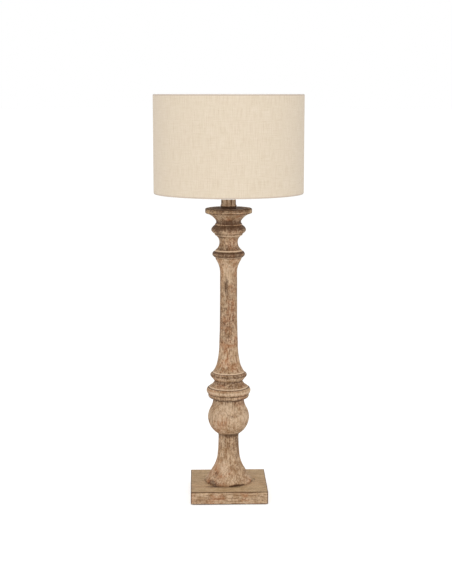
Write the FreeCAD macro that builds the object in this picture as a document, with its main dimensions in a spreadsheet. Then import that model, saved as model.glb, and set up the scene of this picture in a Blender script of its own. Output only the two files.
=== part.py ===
import FreeCAD, Part
import math
import os
import re
import Sketcher
from FreeCAD import Placement, Rotation, Vector

# Candlestick table lamp: a turned hardwood column on a square plinth, a threaded tube that clamps the
# stack, a bayonet lampholder with a push-bar switch, an opal bulb and a straight linen drum shade.
# Millimetres. Z is up, X is to the right, the front faces -Y. The origin is on the table, below the axis.

os.makedirs("parts", exist_ok=True)
doc = FreeCAD.newDocument("CandlestickLamp")
sheet = doc.addObject("Spreadsheet::Sheet", "Sizes")

SIZES = {
    # Plinth, its felt pad and the cord's way out at the back
    "pad_thickness": 1.5,
    "pad_margin": 4.0,
    "plinth_side": 156.0,
    "plinth_height": 26.0,
    "plinth_softening": 2.0,
    "recess_radius": 17.0,
    "recess_depth": 15.0,
    "cord_bore_radius": 4.5,
    "cord_bore_height": 8.5,
    "bush_wall": 1.2,
    "bush_flange_radius": 7.0,
    "bush_flange_thickness": 2.0,
    "bush_length": 16.0,
    "bush_clearance": 0.1,
    # Threaded tube with its washers and nuts
    "tube_radius": 5.0,
    "tube_bore_radius": 4.0,
    "tube_chamfer": 0.5,
    "tube_end_below": 3.0,
    "tube_end_above": 8.0,
    "wood_bore_clearance": 0.6,
    "thread_clearance": 0.05,
    "base_washer_radius": 14.0,
    "base_washer_thickness": 1.5,
    "base_nut_height": 5.0,
    "nut_flats": 15.0,
    "top_washer_radius": 11.5,
    "top_washer_thickness": 1.2,
    "top_nut_height": 4.0,
    # Column, where it stands on the plinth
    "foot_radius": 46.5,
    # Drip pan, and the candle sleeve that stands on it
    "pan_radius": 46.6,
    "pan_height": 9.0,
    "pan_softening": 0.7,
    "sleeve_radius": 14.4,
    "sleeve_height": 32.0,
    "sleeve_foot_radius": 14.0,
    "sleeve_foot_height": 1.8,
    "sleeve_lip_radius": 15.8,
    "sleeve_lip_height": 3.4,
    "sleeve_lip_chamfer": 0.9,
    "sleeve_chamfer": 0.8,
    # Lampholder: spun brass cap, moulded insulator, brass barrel
    "entry_radius": 8.5,
    "entry_height": 5.0,
    "cap_radius": 16.0,
    "cap_wall": 0.9,
    "cap_shoulder_height": 7.0,
    "cap_shoulder_reach": 5.0,
    "cap_shoulder_rise": 2.5,
    "cap_side_height": 12.0,
    "flange_height": 2.0,
    "barrel_radius": 14.2,
    "barrel_height": 20.0,
    "barrel_chamfer": 0.6,
    "insulator_clearance": 0.15,
    "insulator_disc_height": 3.0,
    "insulator_deck_height": 5.0,
    "guide_radius": 9.0,
    "guide_height": 8.0,
    # Push-bar switch
    "bar_radius": 2.4,
    "bar_height": 5.4,
    "bar_clearance": 0.06,
    "bar_cap_clearance": 0.6,
    "bar_travel": 5.0,
    "knob_radius": 4.2,
    "knob_length": 6.0,
    "knob_bow": 1.4,
    "knob_stand_off": 0.6,
    # Contact plungers
    "contact_spacing": 11.0,
    "plunger_radius": 2.2,
    "plunger_chamfer": 0.6,
    "plunger_proud": 2.8,
    "plunger_depth": 6.0,
    "plunger_clearance": 0.06,
    "plunger_travel": 2.0,
    "plunger_end_gap": 0.3,
    # Bayonet pins, and the slots that they travel in
    "pin_radius": 1.0,
    "pin_reach": 13.5,
    "pin_height": 7.5,
    "pin_clearance": 0.4,
    "twist_angle": 20.0,
    # Ring nut that holds the shade down
    "ring_nut_radius": 18.5,
    "ring_nut_height": 8.0,
    "ring_nut_chamfer": 0.8,
    "grip_radius": 1.5,
    "grip_count": 16,
    "turning_clearance": 0.1,
    # Bulb
    "bulb_cap_radius": 11.0,
    "bulb_cap_height": 25.0,
    "bulb_cap_wall": 0.5,
    "bulb_cap_clearance": 0.08,
    "bulb_base_thickness": 4.0,
    "contact_radius": 2.6,
    "contact_thickness": 0.8,
    "glass_radius": 30.0,
    "glass_wall": 0.9,
    "glass_neck_radius": 14.0,
    "glass_neck_height": 5.0,
    "glass_shoulder_height": 43.0,
    "glass_shoulder_bow": 4.3,
    "glass_crown_rings": 6,
    "glass_seat_depth": 5.0,
    "glass_seat_clearance": 0.1,
    # Drum shade: linen cover, stiff liner, ring wires, fitter with its spokes
    "shade_radius": 150.0,
    "shade_height": 196.1,
    "shade_above_pan": 30.2,
    "cover_thickness": 0.8,
    "liner_thickness": 0.4,
    "wire_radius": 1.6,
    "wire_edge_gap": 1.0,
    "wire_clearance": 0.1,
    "fitter_bore_radius": 14.7,
    "fitter_radius": 21.5,
    "fitter_thickness": 1.8,
    "spoke_radius": 1.6,
    "spoke_count": 3,
    "spoke_level_reach": 96.0,
}

# The turned column from the plinth up. Each moulding is named, with the radius that it ends at, the
# height that it takes, and the bow of its face: out (+) for a bead, in (-) for a hollow, 0 for a cone.
COLUMN = [
    ("foot_roll", 44.5, 8.0, 1.8),
    ("foot_flare", 34.1, 17.0, -0.6),
    ("foot_cove", 22.2, 32.0, -2.1),
    ("foot_neck", 20.1, 40.0, -0.5),
    ("ball_seat", 21.0, 5.0, 0),
    ("ball_lower", 41.9, 34.0, 5.1),
    ("ball_upper", 37.3, 18.0, 1.1),
    ("ball_shoulder", 31.0, 19.0, -1.15),
    ("ball_neck", 30.9, 3.5, 0),
    ("collar_under", 38.6, 1.5, 0),
    ("collar_roll", 40.6, 7.4, 1.5),
    ("collar_bead", 42.3, 12.8, 3.1),
    ("collar_quirk", 39.8, 0.9, 0),
    ("collar_step", 38.6, 1.9, 0),
    ("collar_slope", 28.1, 11.0, -1.3),
    ("waist", 28.0, 1.0, 0),
    ("band_under", 35.5, 8.6, 0),
    ("band_bead", 34.6, 7.2, 1.9),
    ("band_quirk", 32.4, 0.8, 0),
    ("band_step", 31.6, 2.0, 0),
    ("shaft_flare", 22.3, 21.8, -1.4),
    ("shaft_sweep", 18.5, 37.6, -1.0),
    ("shaft_taper", 17.1, 63.0, -0.3),
    ("shaft_top", 16.8, 78.0, 0),
    ("capital_sweep", 25.0, 30.0, -2.5),
    ("capital_fillet", 26.6, 4.6, 0),
    ("lower_bead_under", 28.2, 1.2, 0),
    ("lower_bead", 29.3, 10.8, 3.6),
    ("lower_bead_quirk", 27.0, 0.7, 0),
    ("lower_bead_step", 26.2, 1.9, 0),
    ("hollow_lower", 18.1, 15.8, -2.3),
    ("hollow_upper", 24.8, 13.7, -2.0),
    ("upper_bead_fillet", 27.4, 1.3, 0),
    ("upper_bead_step", 27.8, 2.9, 0),
    ("upper_bead", 29.2, 15.5, 6.0),
    ("upper_bead_quirk", 27.6, 0.9, 0),
    ("upper_bead_top", 27.0, 2.3, 0),
    ("capital_cove", 26.2, 9.4, -2.1),
    ("capital_flare", 45.6, 13.0, -2.1),
]
for moulding, radius, rise, bow in COLUMN:
    SIZES[moulding + "_radius"] = radius
    SIZES[moulding + "_rise"] = rise
    if bow:
        SIZES[moulding + "_bow"] = bow

for row, (alias, value) in enumerate(SIZES.items(), 1):
    sheet.set(f"A{row}", alias)
    sheet.set(f"B{row}", str(value))
    sheet.setAlias(f"B{row}", alias)
doc.recompute()

# Levels of the stack above the table, and the radii that neighbours share, as formulas over the sheet
PLINTH_TOP = "pad_thickness + plinth_height"
RECESS_TOP = "pad_thickness + recess_depth"
COLUMN_RISE = " + ".join(name + "_rise" for name, *_ in COLUMN)
COLUMN_TOP = f"{PLINTH_TOP} + {COLUMN_RISE}"
PAN_TOP = f"{COLUMN_TOP} + pan_height"
SLEEVE_TOP = f"{PAN_TOP} + sleeve_height"
HOLDER_FOOT = f"{SLEEVE_TOP} + top_washer_thickness + top_nut_height"
CAP_HEIGHT = "entry_height + cap_shoulder_height + cap_side_height"
CAP_TOP = f"{HOLDER_FOOT} + {CAP_HEIGHT}"
BAR_LEVEL = f"{CAP_TOP} - cap_side_height + bar_height"
DECK = f"{CAP_TOP} + insulator_deck_height"
CONTACT_PLANE = f"{DECK} + plunger_proud"
FITTER_FOOT = f"{CAP_TOP} + flange_height + turning_clearance"
SHADE_FOOT = f"{PAN_TOP} + shade_above_pan"
BAR_SPAN = "2 * (cap_radius + knob_stand_off) + bar_travel"
BAR_LENGTH = f"{BAR_SPAN} + 2 * knob_length"
WOOD_BORE = "tube_radius + wood_bore_clearance"
THREAD_BORE = "tube_radius + thread_clearance"
BARREL_BORE = "bulb_cap_radius + bulb_cap_clearance"
LINER_BORE = "shade_radius - cover_thickness - liner_thickness"
WIRE_REACH = f"{LINER_BORE} - wire_clearance - wire_radius"


def bound(formula):
    """The formula as the document reads it: each size's name becomes its cell in the sheet."""
    return re.sub(r"\w+", lambda word: f"Sizes.{word[0]}" if word[0] in SIZES else word[0], formula)


def worth(formula):
    """What a formula over the sheet comes to now."""
    return float(sheet.evalExpression(bound(formula)))


def new_body(label):
    body = doc.addObject("PartDesign::Body", label)
    body.Label = label
    return body


def lift(piece, level):
    """Stand a piece on a level of the stack."""
    piece.setExpression("Placement.Base.z", bound(level))


def new_sketch(body, name, role):
    """A sketch on one of the body's own origin planes."""
    plane = next(part for part in body.Origin.OriginFeatures if part.Role == role)
    sketch = body.newObject("Sketcher::SketchObject", name)
    sketch.AttachmentSupport = [(plane, "")]
    sketch.MapMode = "FlatFace"
    return sketch


def tie(sketch, kind, places, formula):
    """Add a dimension that follows a formula over the sheet."""
    number = sketch.addConstraint(Sketcher.Constraint(kind, *places, worth(formula)))
    sketch.renameConstraint(number, f"{kind}_{number}")
    sketch.setExpression(f"Constraints.{kind}_{number}", bound(formula))


def pin(sketch, edge, end, across, up):
    """Place one end of an edge, on an axis where its distance is 0."""
    for kind, axis, formula in (("DistanceX", -2, across), ("DistanceY", -1, up)):
        if formula == "0":
            sketch.addConstraint(Sketcher.Constraint("PointOnObject", edge, end, axis))
        else:
            tie(sketch, kind, (edge, end), formula)


def draw(sketch, corners, closed=True):
    """Draw a run of edges. A corner is (across, up), or (across, up, bow) where the edge that arrives
    there is an arc, which swells by bow to the right of its way, or to the left where bow is below 0."""
    points = [Vector(worth(corner[0]), worth(corner[1]), 0) for corner in corners]
    starts = range(len(corners)) if closed else range(len(corners) - 1)
    ends = {}
    for start in starts:
        finish = (start + 1) % len(corners)
        a, b = points[start], points[finish]
        if len(corners[finish]) == 2:
            edge = sketch.addGeometry(Part.LineSegment(a, b))
            ends[start] = (edge, 1, 2)
            continue
        swell = corners[finish][2]
        chord = b - a
        sag = worth(swell)
        radius = f"abs({swell}) / 2 + (({corners[finish][0]} - ({corners[start][0]}))^2"
        radius += f" + ({corners[finish][1]} - ({corners[start][1]}))^2) / (8 * abs({swell}))"
        right = Vector(chord.y, -chord.x, 0).normalize()
        centre = (a + b) * 0.5 + right * (sag - math.copysign(worth(radius), sag))
        first, last = (a, b) if sag > 0 else (b, a)
        turn = [math.atan2(point.y - centre.y, point.x - centre.x) for point in (first, last)]
        circle = Part.Circle(centre, Vector(0, 0, 1), worth(radius))
        edge = sketch.addGeometry(Part.ArcOfCircle(circle, turn[0], turn[1]))
        ends[start] = (edge, 1, 2) if sag > 0 else (edge, 2, 1)
        tie(sketch, "Radius", (edge,), radius)
    for start in starts:
        edge, near, far = ends[start]
        pin(sketch, edge, near, *corners[start][:2])
        if start + 1 in ends or closed:
            following, first_end, _ = ends[(start + 1) % len(corners)]
            sketch.addConstraint(Sketcher.Constraint("Coincident", edge, far, following, first_end))
        else:
            pin(sketch, edge, far, *corners[start + 1][:2])


def draw_circle(sketch, across, up, radius):
    centre = Vector(worth(across), worth(up), 0)
    edge = sketch.addGeometry(Part.Circle(centre, Vector(0, 0, 1), worth(radius)))
    pin(sketch, edge, 3, across, up)
    tie(sketch, "Radius", (edge,), radius)


def turn_outline(body, name, corners, kind="Revolution"):
    """Turn an outline drawn on the XZ plane about the upright axis."""
    sketch = new_sketch(body, name + "_outline", "XZ_Plane")
    draw(sketch, corners)
    solid = body.newObject("PartDesign::" + kind, name)
    solid.Profile = sketch
    solid.ReferenceAxis = (sketch, ["V_Axis"])
    solid.Angle = 360
    return solid


def turned(label, corners, level):
    """A piece turned in one go, standing on a level of the stack."""
    body = new_body(label)
    turn_outline(body, label + "_turning", corners)
    lift(body, level)
    return body


def ring(label, inner, outer, height, level):
    """A plain round washer, collar or wall."""
    return turned(label, [(inner, "0"), (outer, "0"), (outer, height), (inner, height)], level)


def nut(label, height, level):
    """A hexagon nut on the threaded tube."""
    blank = doc.addObject("Part::Prism", label + "_blank")
    blank.Polygon = 6
    blank.setExpression("Circumradius", bound("nut_flats / sqrt(3)"))
    blank.setExpression("Height", bound(height))
    bore = doc.addObject("Part::Cylinder", label + "_bore")
    bore.setExpression("Radius", bound(THREAD_BORE))
    bore.setExpression("Height", bound(height))
    piece = doc.addObject("Part::Cut", label)
    piece.Label = label
    piece.Base = blank
    piece.Tool = bore
    lift(piece, level)
    return piece


def copies(body, feature, count):
    """Repeat a feature about the upright axis."""
    pattern = body.newObject("PartDesign::PolarPattern", feature.Name + "_round")
    pattern.Originals = [feature]
    axis = next(part for part in body.Origin.OriginFeatures if part.Role == "Z_Axis")
    pattern.Axis = (axis, [""])
    pattern.Angle = 360
    pattern.Occurrences = int(worth(count))
    pattern.setExpression("Occurrences", bound(count))
    body.Tip = pattern
    return pattern


# --- Plinth: felt pad, softened square block, cord bush -------------------------------------------

base_pad = doc.addObject("Part::Box", "base_pad")
base_pad.Label = "base_pad"
for side in ("Length", "Width"):
    base_pad.setExpression(side, bound("plinth_side - 2 * pad_margin"))
for axis in ("x", "y"):
    base_pad.setExpression(f"Placement.Base.{axis}", bound("pad_margin - plinth_side / 2"))
base_pad.setExpression("Height", bound("pad_thickness"))

plinth = new_body("plinth")
lift(plinth, "pad_thickness")
square = new_sketch(plinth, "plinth_square", "XY_Plane")
HALF = "plinth_side / 2"
draw(square, [(f"-{HALF}", f"-{HALF}"), (HALF, f"-{HALF}"), (HALF, HALF), (f"-{HALF}", HALF)])
block = plinth.newObject("PartDesign::Pad", "plinth_block")
block.Profile = square
block.setExpression("Length", bound("plinth_height"))
doc.recompute()
upper_edges = []
for number, edge in enumerate(block.Shape.Edges, 1):
    if edge.BoundBox.ZMax > worth("plinth_height") - 0.001:
        upper_edges.append(f"Edge{number}")
softening = plinth.newObject("PartDesign::Fillet", "plinth_softening")
softening.Base = (block, upper_edges)
softening.setExpression("Radius", bound("plinth_softening"))
recess = new_sketch(plinth, "recess_circle", "XY_Plane")
draw_circle(recess, "0", "0", "recess_radius")
recess_pocket = plinth.newObject("PartDesign::Pocket", "recess")
recess_pocket.Profile = recess
recess_pocket.Reversed = True
recess_pocket.setExpression("Length", bound("recess_depth"))
bore = new_sketch(plinth, "tube_circle", "XY_Plane")
draw_circle(bore, "0", "0", WOOD_BORE)
tube_pocket = plinth.newObject("PartDesign::Pocket", "tube_bore")
tube_pocket.Profile = bore
tube_pocket.Reversed = True
tube_pocket.setExpression("Length", bound("plinth_height"))
cord_way = new_sketch(plinth, "cord_circle", "XZ_Plane")
draw_circle(cord_way, "0", "cord_bore_height", "cord_bore_radius")
cord_pocket = plinth.newObject("PartDesign::Pocket", "cord_bore")
cord_pocket.Profile = cord_way
cord_pocket.setExpression("Length", bound(HALF))

# The bush is pushed into the cord bore from behind; its own upright axis lies along the bore.
BUSH_RADIUS = "cord_bore_radius - bush_clearance"
BUSH_BORE = f"{BUSH_RADIUS} - bush_wall"
cord_bush = turned("cord_bush", [
    (BUSH_BORE, "0"),
    ("bush_flange_radius", "0"),
    ("bush_flange_radius", "bush_flange_thickness"),
    (BUSH_RADIUS, "bush_flange_thickness"),
    (BUSH_RADIUS, "bush_flange_thickness + bush_length"),
    (BUSH_BORE, "bush_flange_thickness + bush_length"),
], "pad_thickness + cord_bore_height")
cord_bush.Placement.Rotation = Rotation(Vector(1, 0, 0), 90)
cord_bush.setExpression("Placement.Base.y", bound(f"{HALF} + bush_flange_thickness"))

# --- Turned wood: column, drip pan, candle sleeve -------------------------------------------------

column_corners = [(WOOD_BORE, "0"), ("foot_radius", "0")]
height = "0"
for moulding, radius, rise, bow in COLUMN:
    height = f"{moulding}_rise" if height == "0" else f"{height} + {moulding}_rise"
    corner = (f"{moulding}_radius", height)
    column_corners.append(corner + (f"{moulding}_bow",) if bow else corner)
column_corners.append((WOOD_BORE, height))
turned("column", column_corners, PLINTH_TOP)

turned("drip_pan", [
    (WOOD_BORE, "0"),
    ("pan_radius - pan_softening", "0"),
    ("pan_radius", "pan_softening"),
    ("pan_radius", "pan_height - pan_softening"),
    ("pan_radius - pan_softening", "pan_height"),
    (WOOD_BORE, "pan_height"),
], COLUMN_TOP)

LIP_TOP = "sleeve_foot_height + sleeve_lip_height"
turned("candle_sleeve", [
    (WOOD_BORE, "0"),
    ("sleeve_foot_radius", "0"),
    ("sleeve_foot_radius", "sleeve_foot_height"),
    ("sleeve_lip_radius - sleeve_lip_chamfer", "sleeve_foot_height"),
    ("sleeve_lip_radius", "sleeve_foot_height + sleeve_lip_chamfer"),
    ("sleeve_lip_radius", f"{LIP_TOP} - sleeve_lip_chamfer"),
    ("sleeve_radius", LIP_TOP),
    ("sleeve_radius", "sleeve_height - sleeve_chamfer"),
    ("sleeve_radius - sleeve_chamfer", "sleeve_height"),
    (WOOD_BORE, "sleeve_height"),
], PAN_TOP)

# --- Threaded tube, with a nut and a washer at each end -------------------------------------------

BASE_NUT_FOOT = f"{RECESS_TOP} - base_washer_thickness - base_nut_height"
TUBE_FOOT = f"{BASE_NUT_FOOT} - tube_end_below"
TUBE_LENGTH = f"{HOLDER_FOOT} + tube_end_above - ({TUBE_FOOT})"
turned("threaded_tube", [
    ("tube_bore_radius", "0"),
    ("tube_radius - tube_chamfer", "0"),
    ("tube_radius", "tube_chamfer"),
    ("tube_radius", f"{TUBE_LENGTH} - tube_chamfer"),
    ("tube_radius - tube_chamfer", TUBE_LENGTH),
    ("tube_bore_radius", TUBE_LENGTH),
], TUBE_FOOT)
ring("base_washer", THREAD_BORE, "base_washer_radius", "base_washer_thickness",
     f"{RECESS_TOP} - base_washer_thickness")
nut("base_nut", "base_nut_height", BASE_NUT_FOOT)
ring("top_washer", THREAD_BORE, "top_washer_radius", "top_washer_thickness", SLEEVE_TOP)
nut("top_nut", "top_nut_height", f"{SLEEVE_TOP} + top_washer_thickness")

# --- Lampholder: spun cap, insulator with the bar's guide, slotted barrel --------------------------

SHOULDER_TOP = "entry_height + cap_shoulder_height"
holder_cap = turned("holder_cap", [
    (THREAD_BORE, "0"),
    ("entry_radius", "0"),
    ("entry_radius", "entry_height"),
    ("entry_radius + cap_shoulder_reach", "entry_height + cap_shoulder_rise"),
    ("cap_radius", SHOULDER_TOP),
    ("cap_radius", CAP_HEIGHT),
    ("cap_radius - cap_wall", CAP_HEIGHT),
    ("cap_radius - cap_wall", SHOULDER_TOP),
    ("entry_radius + cap_shoulder_reach - cap_wall", "entry_height + cap_shoulder_rise + cap_wall"),
    ("entry_radius - cap_wall", "entry_height + cap_wall"),
    (THREAD_BORE, "entry_height + cap_wall"),
], HOLDER_FOOT)
bar_holes = new_sketch(holder_cap, "bar_hole_circle", "YZ_Plane")
draw_circle(bar_holes, "0", f"{SHOULDER_TOP} + bar_height", "bar_radius + bar_cap_clearance")
bar_hole_pocket = holder_cap.newObject("PartDesign::Pocket", "bar_holes")
bar_hole_pocket.Profile = bar_holes
bar_hole_pocket.Midplane = True
bar_hole_pocket.setExpression("Length", bound(BAR_LENGTH))

GUIDE_TOP = "guide_height"
DISC_TOP = "guide_height + insulator_disc_height"
DECK_TOP = f"{DISC_TOP} + insulator_deck_height"
INSULATOR_FOOT = f"{CAP_TOP} - ({DISC_TOP})"
insulator = turned("holder_insulator", [
    ("0", "0"),
    ("guide_radius", "0"),
    ("guide_radius", GUIDE_TOP),
    ("cap_radius - cap_wall - insulator_clearance", GUIDE_TOP),
    ("cap_radius - cap_wall - insulator_clearance", DISC_TOP),
    (f"{BARREL_BORE} - insulator_clearance", DISC_TOP),
    (f"{BARREL_BORE} - insulator_clearance", DECK_TOP),
    ("0", DECK_TOP),
], INSULATOR_FOOT)
guide = new_sketch(insulator, "guide_circle", "YZ_Plane")
draw_circle(guide, "0", f"{BAR_LEVEL} - ({INSULATOR_FOOT})", "bar_radius + bar_clearance")
guide_pocket = insulator.newObject("PartDesign::Pocket", "guide_bore")
guide_pocket.Profile = guide
guide_pocket.Midplane = True
guide_pocket.setExpression("Length", bound(BAR_LENGTH))
wells = new_sketch(insulator, "well_circles", "XY_Plane")
for side in ("", "-"):
    draw_circle(wells, "0", f"{side}contact_spacing / 2", "plunger_radius + plunger_clearance")
WELL_DEPTH = "plunger_depth + plunger_travel + plunger_end_gap"
wells.setExpression("AttachmentOffset.Base.z", bound(DECK_TOP))
well_pocket = insulator.newObject("PartDesign::Pocket", "plunger_wells")
well_pocket.Profile = wells
well_pocket.setExpression("Length", bound(WELL_DEPTH))

barrel = turned("holder_barrel", [
    (BARREL_BORE, "0"),
    ("cap_radius", "0"),
    ("cap_radius", "flange_height"),
    ("barrel_radius", "flange_height"),
    ("barrel_radius", "flange_height + barrel_height - barrel_chamfer"),
    ("barrel_radius - barrel_chamfer", "flange_height + barrel_height"),
    (BARREL_BORE, "flange_height + barrel_height"),
], CAP_TOP)
# Each bayonet slot has a level run, which the pin turns along, and an upright way out of it. The pins
# rest on the X axis, and the way out is one twist further on.
PIN_LEVEL = "insulator_deck_height + plunger_proud + pin_height"
SLOT_FOOT = f"{PIN_LEVEL} - plunger_travel - pin_radius - pin_clearance"
SLOT_HALF = "(asin((pin_radius + pin_clearance) / bulb_cap_radius) / (1 deg))"
RUNS = {
    "slot_run": (f"{PIN_LEVEL} + pin_radius + pin_clearance", "twist_angle / 2",
                 f"twist_angle + 2 * {SLOT_HALF}"),
    "slot_way_out": ("flange_height + barrel_height + barrel_chamfer", "twist_angle", f"2 * {SLOT_HALF}"),
}
for name, (top, turn, sweep) in RUNS.items():
    opening = new_sketch(barrel, name + "_outline", "XZ_Plane")
    draw(opening, [("guide_radius", SLOT_FOOT), ("cap_radius", SLOT_FOOT),
                   ("cap_radius", top), ("guide_radius", top)])
    opening.AttachmentOffset = Placement(Vector(0, 0, 0), Rotation(Vector(0, 1, 0), worth(turn)))
    opening.setExpression("AttachmentOffset.Rotation.Angle", bound(turn))
    groove = barrel.newObject("PartDesign::Groove", name)
    groove.Profile = opening
    groove.ReferenceAxis = (opening, ["V_Axis"])
    groove.Midplane = True
    groove.Angle = worth(sweep)
    groove.setExpression("Angle", bound(sweep))
    copies(barrel, groove, "2")

# --- Push-bar switch: a bar with a knob at each end, seen here pushed to the left -------------------

switch_bar = turned("switch_bar", [
    ("0", "0"),
    ("knob_radius - knob_bow", "0"),
    ("knob_radius", "knob_bow"),
    ("knob_radius", "knob_length"),
    ("bar_radius", "knob_length"),
    ("bar_radius", f"{BAR_SPAN} + knob_length"),
    ("knob_radius", f"{BAR_SPAN} + knob_length"),
    ("knob_radius", f"{BAR_LENGTH} - knob_bow"),
    ("knob_radius - knob_bow", BAR_LENGTH),
    ("0", BAR_LENGTH),
], BAR_LEVEL)
switch_bar.Placement.Rotation = Rotation(Vector(0, 1, 0), 90)
switch_bar.setExpression("Placement.Base.x", bound(f"-({BAR_LENGTH} + bar_travel) / 2"))

# --- Contact plungers: two sprung brass pins in the insulator's wells ------------------------------

plungers = new_body("contact_plungers")
plungers.AllowCompound = True
lift(plungers, f"{DECK} - plunger_depth")
plunger_outline = new_sketch(plungers, "plunger_outline", "YZ_Plane")
PLUNGER_LENGTH = "plunger_depth + plunger_proud"
draw(plunger_outline, [
    ("0", "0"),
    ("plunger_radius", "0"),
    ("plunger_radius", f"{PLUNGER_LENGTH} - plunger_chamfer"),
    ("plunger_radius - plunger_chamfer", PLUNGER_LENGTH),
    ("0", PLUNGER_LENGTH),
])
plunger_outline.setExpression("AttachmentOffset.Base.x", bound("contact_spacing / 2"))
plunger = plungers.newObject("PartDesign::Revolution", "plunger")
plunger.Profile = plunger_outline
plunger.ReferenceAxis = (plunger_outline, ["V_Axis"])
plunger.Angle = 360
copies(plungers, plunger, "2")

# --- Ring nut with grip notches, which holds the shade's fitter down --------------------------------

RING_NUT_BORE = "barrel_radius + thread_clearance"
ring_nut = turned("shade_ring_nut", [
    (RING_NUT_BORE, "0"),
    ("ring_nut_radius - ring_nut_chamfer", "0"),
    ("ring_nut_radius", "ring_nut_chamfer"),
    ("ring_nut_radius", "ring_nut_height - ring_nut_chamfer"),
    ("ring_nut_radius - ring_nut_chamfer", "ring_nut_height"),
    (RING_NUT_BORE, "ring_nut_height"),
], f"{FITTER_FOOT} + fitter_thickness + turning_clearance")
grip = new_sketch(ring_nut, "grip_circle", "XY_Plane")
draw_circle(grip, "ring_nut_radius + grip_radius / 2", "0", "grip_radius")
grip_pocket = ring_nut.newObject("PartDesign::Pocket", "grip")
grip_pocket.Profile = grip
grip_pocket.Reversed = True
grip_pocket.setExpression("Length", bound("ring_nut_height"))
copies(ring_nut, grip_pocket, "grip_count")

# --- Bulb: cap, base disc, two contacts, two pins, opal glass ---------------------------------------

BULB_CAP_BORE = "bulb_cap_radius - bulb_cap_wall"
BASE_FOOT = f"{CONTACT_PLANE} + contact_thickness"
ring("bulb_cap", BULB_CAP_BORE, "bulb_cap_radius", "bulb_cap_height - contact_thickness", BASE_FOOT)
turned("bulb_base", [
    ("0", "0"),
    (f"{BULB_CAP_BORE} - thread_clearance", "0"),
    (f"{BULB_CAP_BORE} - thread_clearance", "bulb_base_thickness"),
    ("0", "bulb_base_thickness"),
], BASE_FOOT)


def pair(label, formulas, placements):
    """Two like cylinders as one piece: a weld spot or a pin on each side of the bulb's cap."""
    halves = []
    for number, (base, rotation) in enumerate(placements):
        half = doc.addObject("Part::Cylinder", f"{label}_{number + 1}")
        half.Placement.Rotation = rotation
        for name, formula in {**formulas, **base}.items():
            half.setExpression(name, bound(formula))
        halves.append(half)
    piece = doc.addObject("Part::Compound", label)
    piece.Label = label
    piece.Links = halves
    return piece


bulb_contacts = pair("bulb_contacts", {"Radius": "contact_radius", "Height": "contact_thickness"}, [
    ({"Placement.Base.y": "contact_spacing / 2"}, Rotation()),
    ({"Placement.Base.y": "-contact_spacing / 2"}, Rotation()),
])
lift(bulb_contacts, CONTACT_PLANE)
bulb_pins = pair("bulb_pins", {"Radius": "pin_radius", "Height": "pin_reach - bulb_cap_radius"}, [
    ({"Placement.Base.x": "bulb_cap_radius"}, Rotation(Vector(0, 1, 0), 90)),
    ({"Placement.Base.x": "-bulb_cap_radius"}, Rotation(Vector(0, 1, 0), -90)),
])
lift(bulb_pins, f"{CONTACT_PLANE} + pin_height")


def crown(radius, middle):
    """The upper half of a bulb: rings from its widest part to its top, evenly turned about its middle."""
    rings = int(SIZES["glass_crown_rings"])
    turns = [90 * step / rings for step in range(rings)]
    corners = [(f"({radius}) * cos({turn})", f"{middle} + ({radius}) * sin({turn})") for turn in turns]
    return corners + [("0", f"{middle} + {radius}")]


def shoulder(inset, foot):
    """The lower half of a bulb, from its neck up to its widest part, as a bowed face in even steps."""
    steps = int(SIZES["glass_crown_rings"]) // 2
    corners = []
    for step in range(steps):
        share = step / steps
        swell = f"glass_shoulder_bow * {4 * share * (1 - share)}"
        reach = f"glass_neck_radius + (glass_radius - glass_neck_radius) * {share} + {swell} - {inset}"
        corners.append((reach, f"{foot} + glass_shoulder_height * {share}"))
    return corners


SEAT_RADIUS = f"{BULB_CAP_BORE} - glass_seat_clearance"
NECK_TOP = "glass_seat_depth + glass_neck_height"
GLASS_MIDDLE = f"{NECK_TOP} + glass_shoulder_height"
turned("bulb_glass", [
    (f"{SEAT_RADIUS} - glass_wall", "0"),
    (SEAT_RADIUS, "0"),
    (SEAT_RADIUS, "glass_seat_depth"),
    *shoulder("0", NECK_TOP),
    *crown("glass_radius", GLASS_MIDDLE),
    *reversed(crown("glass_radius - glass_wall", GLASS_MIDDLE)),
    *reversed(shoulder("glass_wall", NECK_TOP)),
    (f"{SEAT_RADIUS} - glass_wall", "glass_seat_depth"),
], f"{CONTACT_PLANE} + bulb_cap_height - glass_seat_depth")

# --- Drum shade: linen cover on a stiff liner, top ring, and the fitter welded to the bottom ring ----

ring("shade_cover", "shade_radius - cover_thickness", "shade_radius", "shade_height", SHADE_FOOT)
ring("shade_liner", LINER_BORE, "shade_radius - cover_thickness", "shade_height", SHADE_FOOT)
WIRE_FLATS = 8


def wire_ring(body, name, level):
    """A closed ring of wire, just inside the liner, with small flats round its section."""
    section = new_sketch(body, name + "_section", "XZ_Plane")
    turns = [360 * (flat + 0.5) / WIRE_FLATS for flat in range(WIRE_FLATS)]
    draw(section, [(f"{WIRE_REACH} + wire_radius * cos({turn})", f"{level} + wire_radius * sin({turn})")
                   for turn in turns])
    wire = body.newObject("PartDesign::Revolution", name)
    wire.Profile = section
    wire.ReferenceAxis = (section, ["V_Axis"])
    wire.Angle = 360
    return wire


top_ring = new_body("shade_top_ring")
wire_ring(top_ring, "top_wire", "wire_radius")
lift(top_ring, f"{SHADE_FOOT} + shade_height - wire_edge_gap - 2 * wire_radius")

fitter = new_body("shade_fitter")
lift(fitter, FITTER_FOOT)
turn_outline(fitter, "fitter_washer", [
    ("fitter_bore_radius", "0"),
    ("fitter_radius", "0"),
    ("fitter_radius", "fitter_thickness"),
    ("fitter_bore_radius", "fitter_thickness"),
])
BOTTOM_WIRE = f"{SHADE_FOOT} + wire_edge_gap + wire_radius - ({FITTER_FOOT})"
SPOKE_ROOT = "fitter_radius - spoke_radius"
MIDDLE = "fitter_thickness / 2"
route = new_sketch(fitter, "spoke_route", "XZ_Plane")
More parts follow.
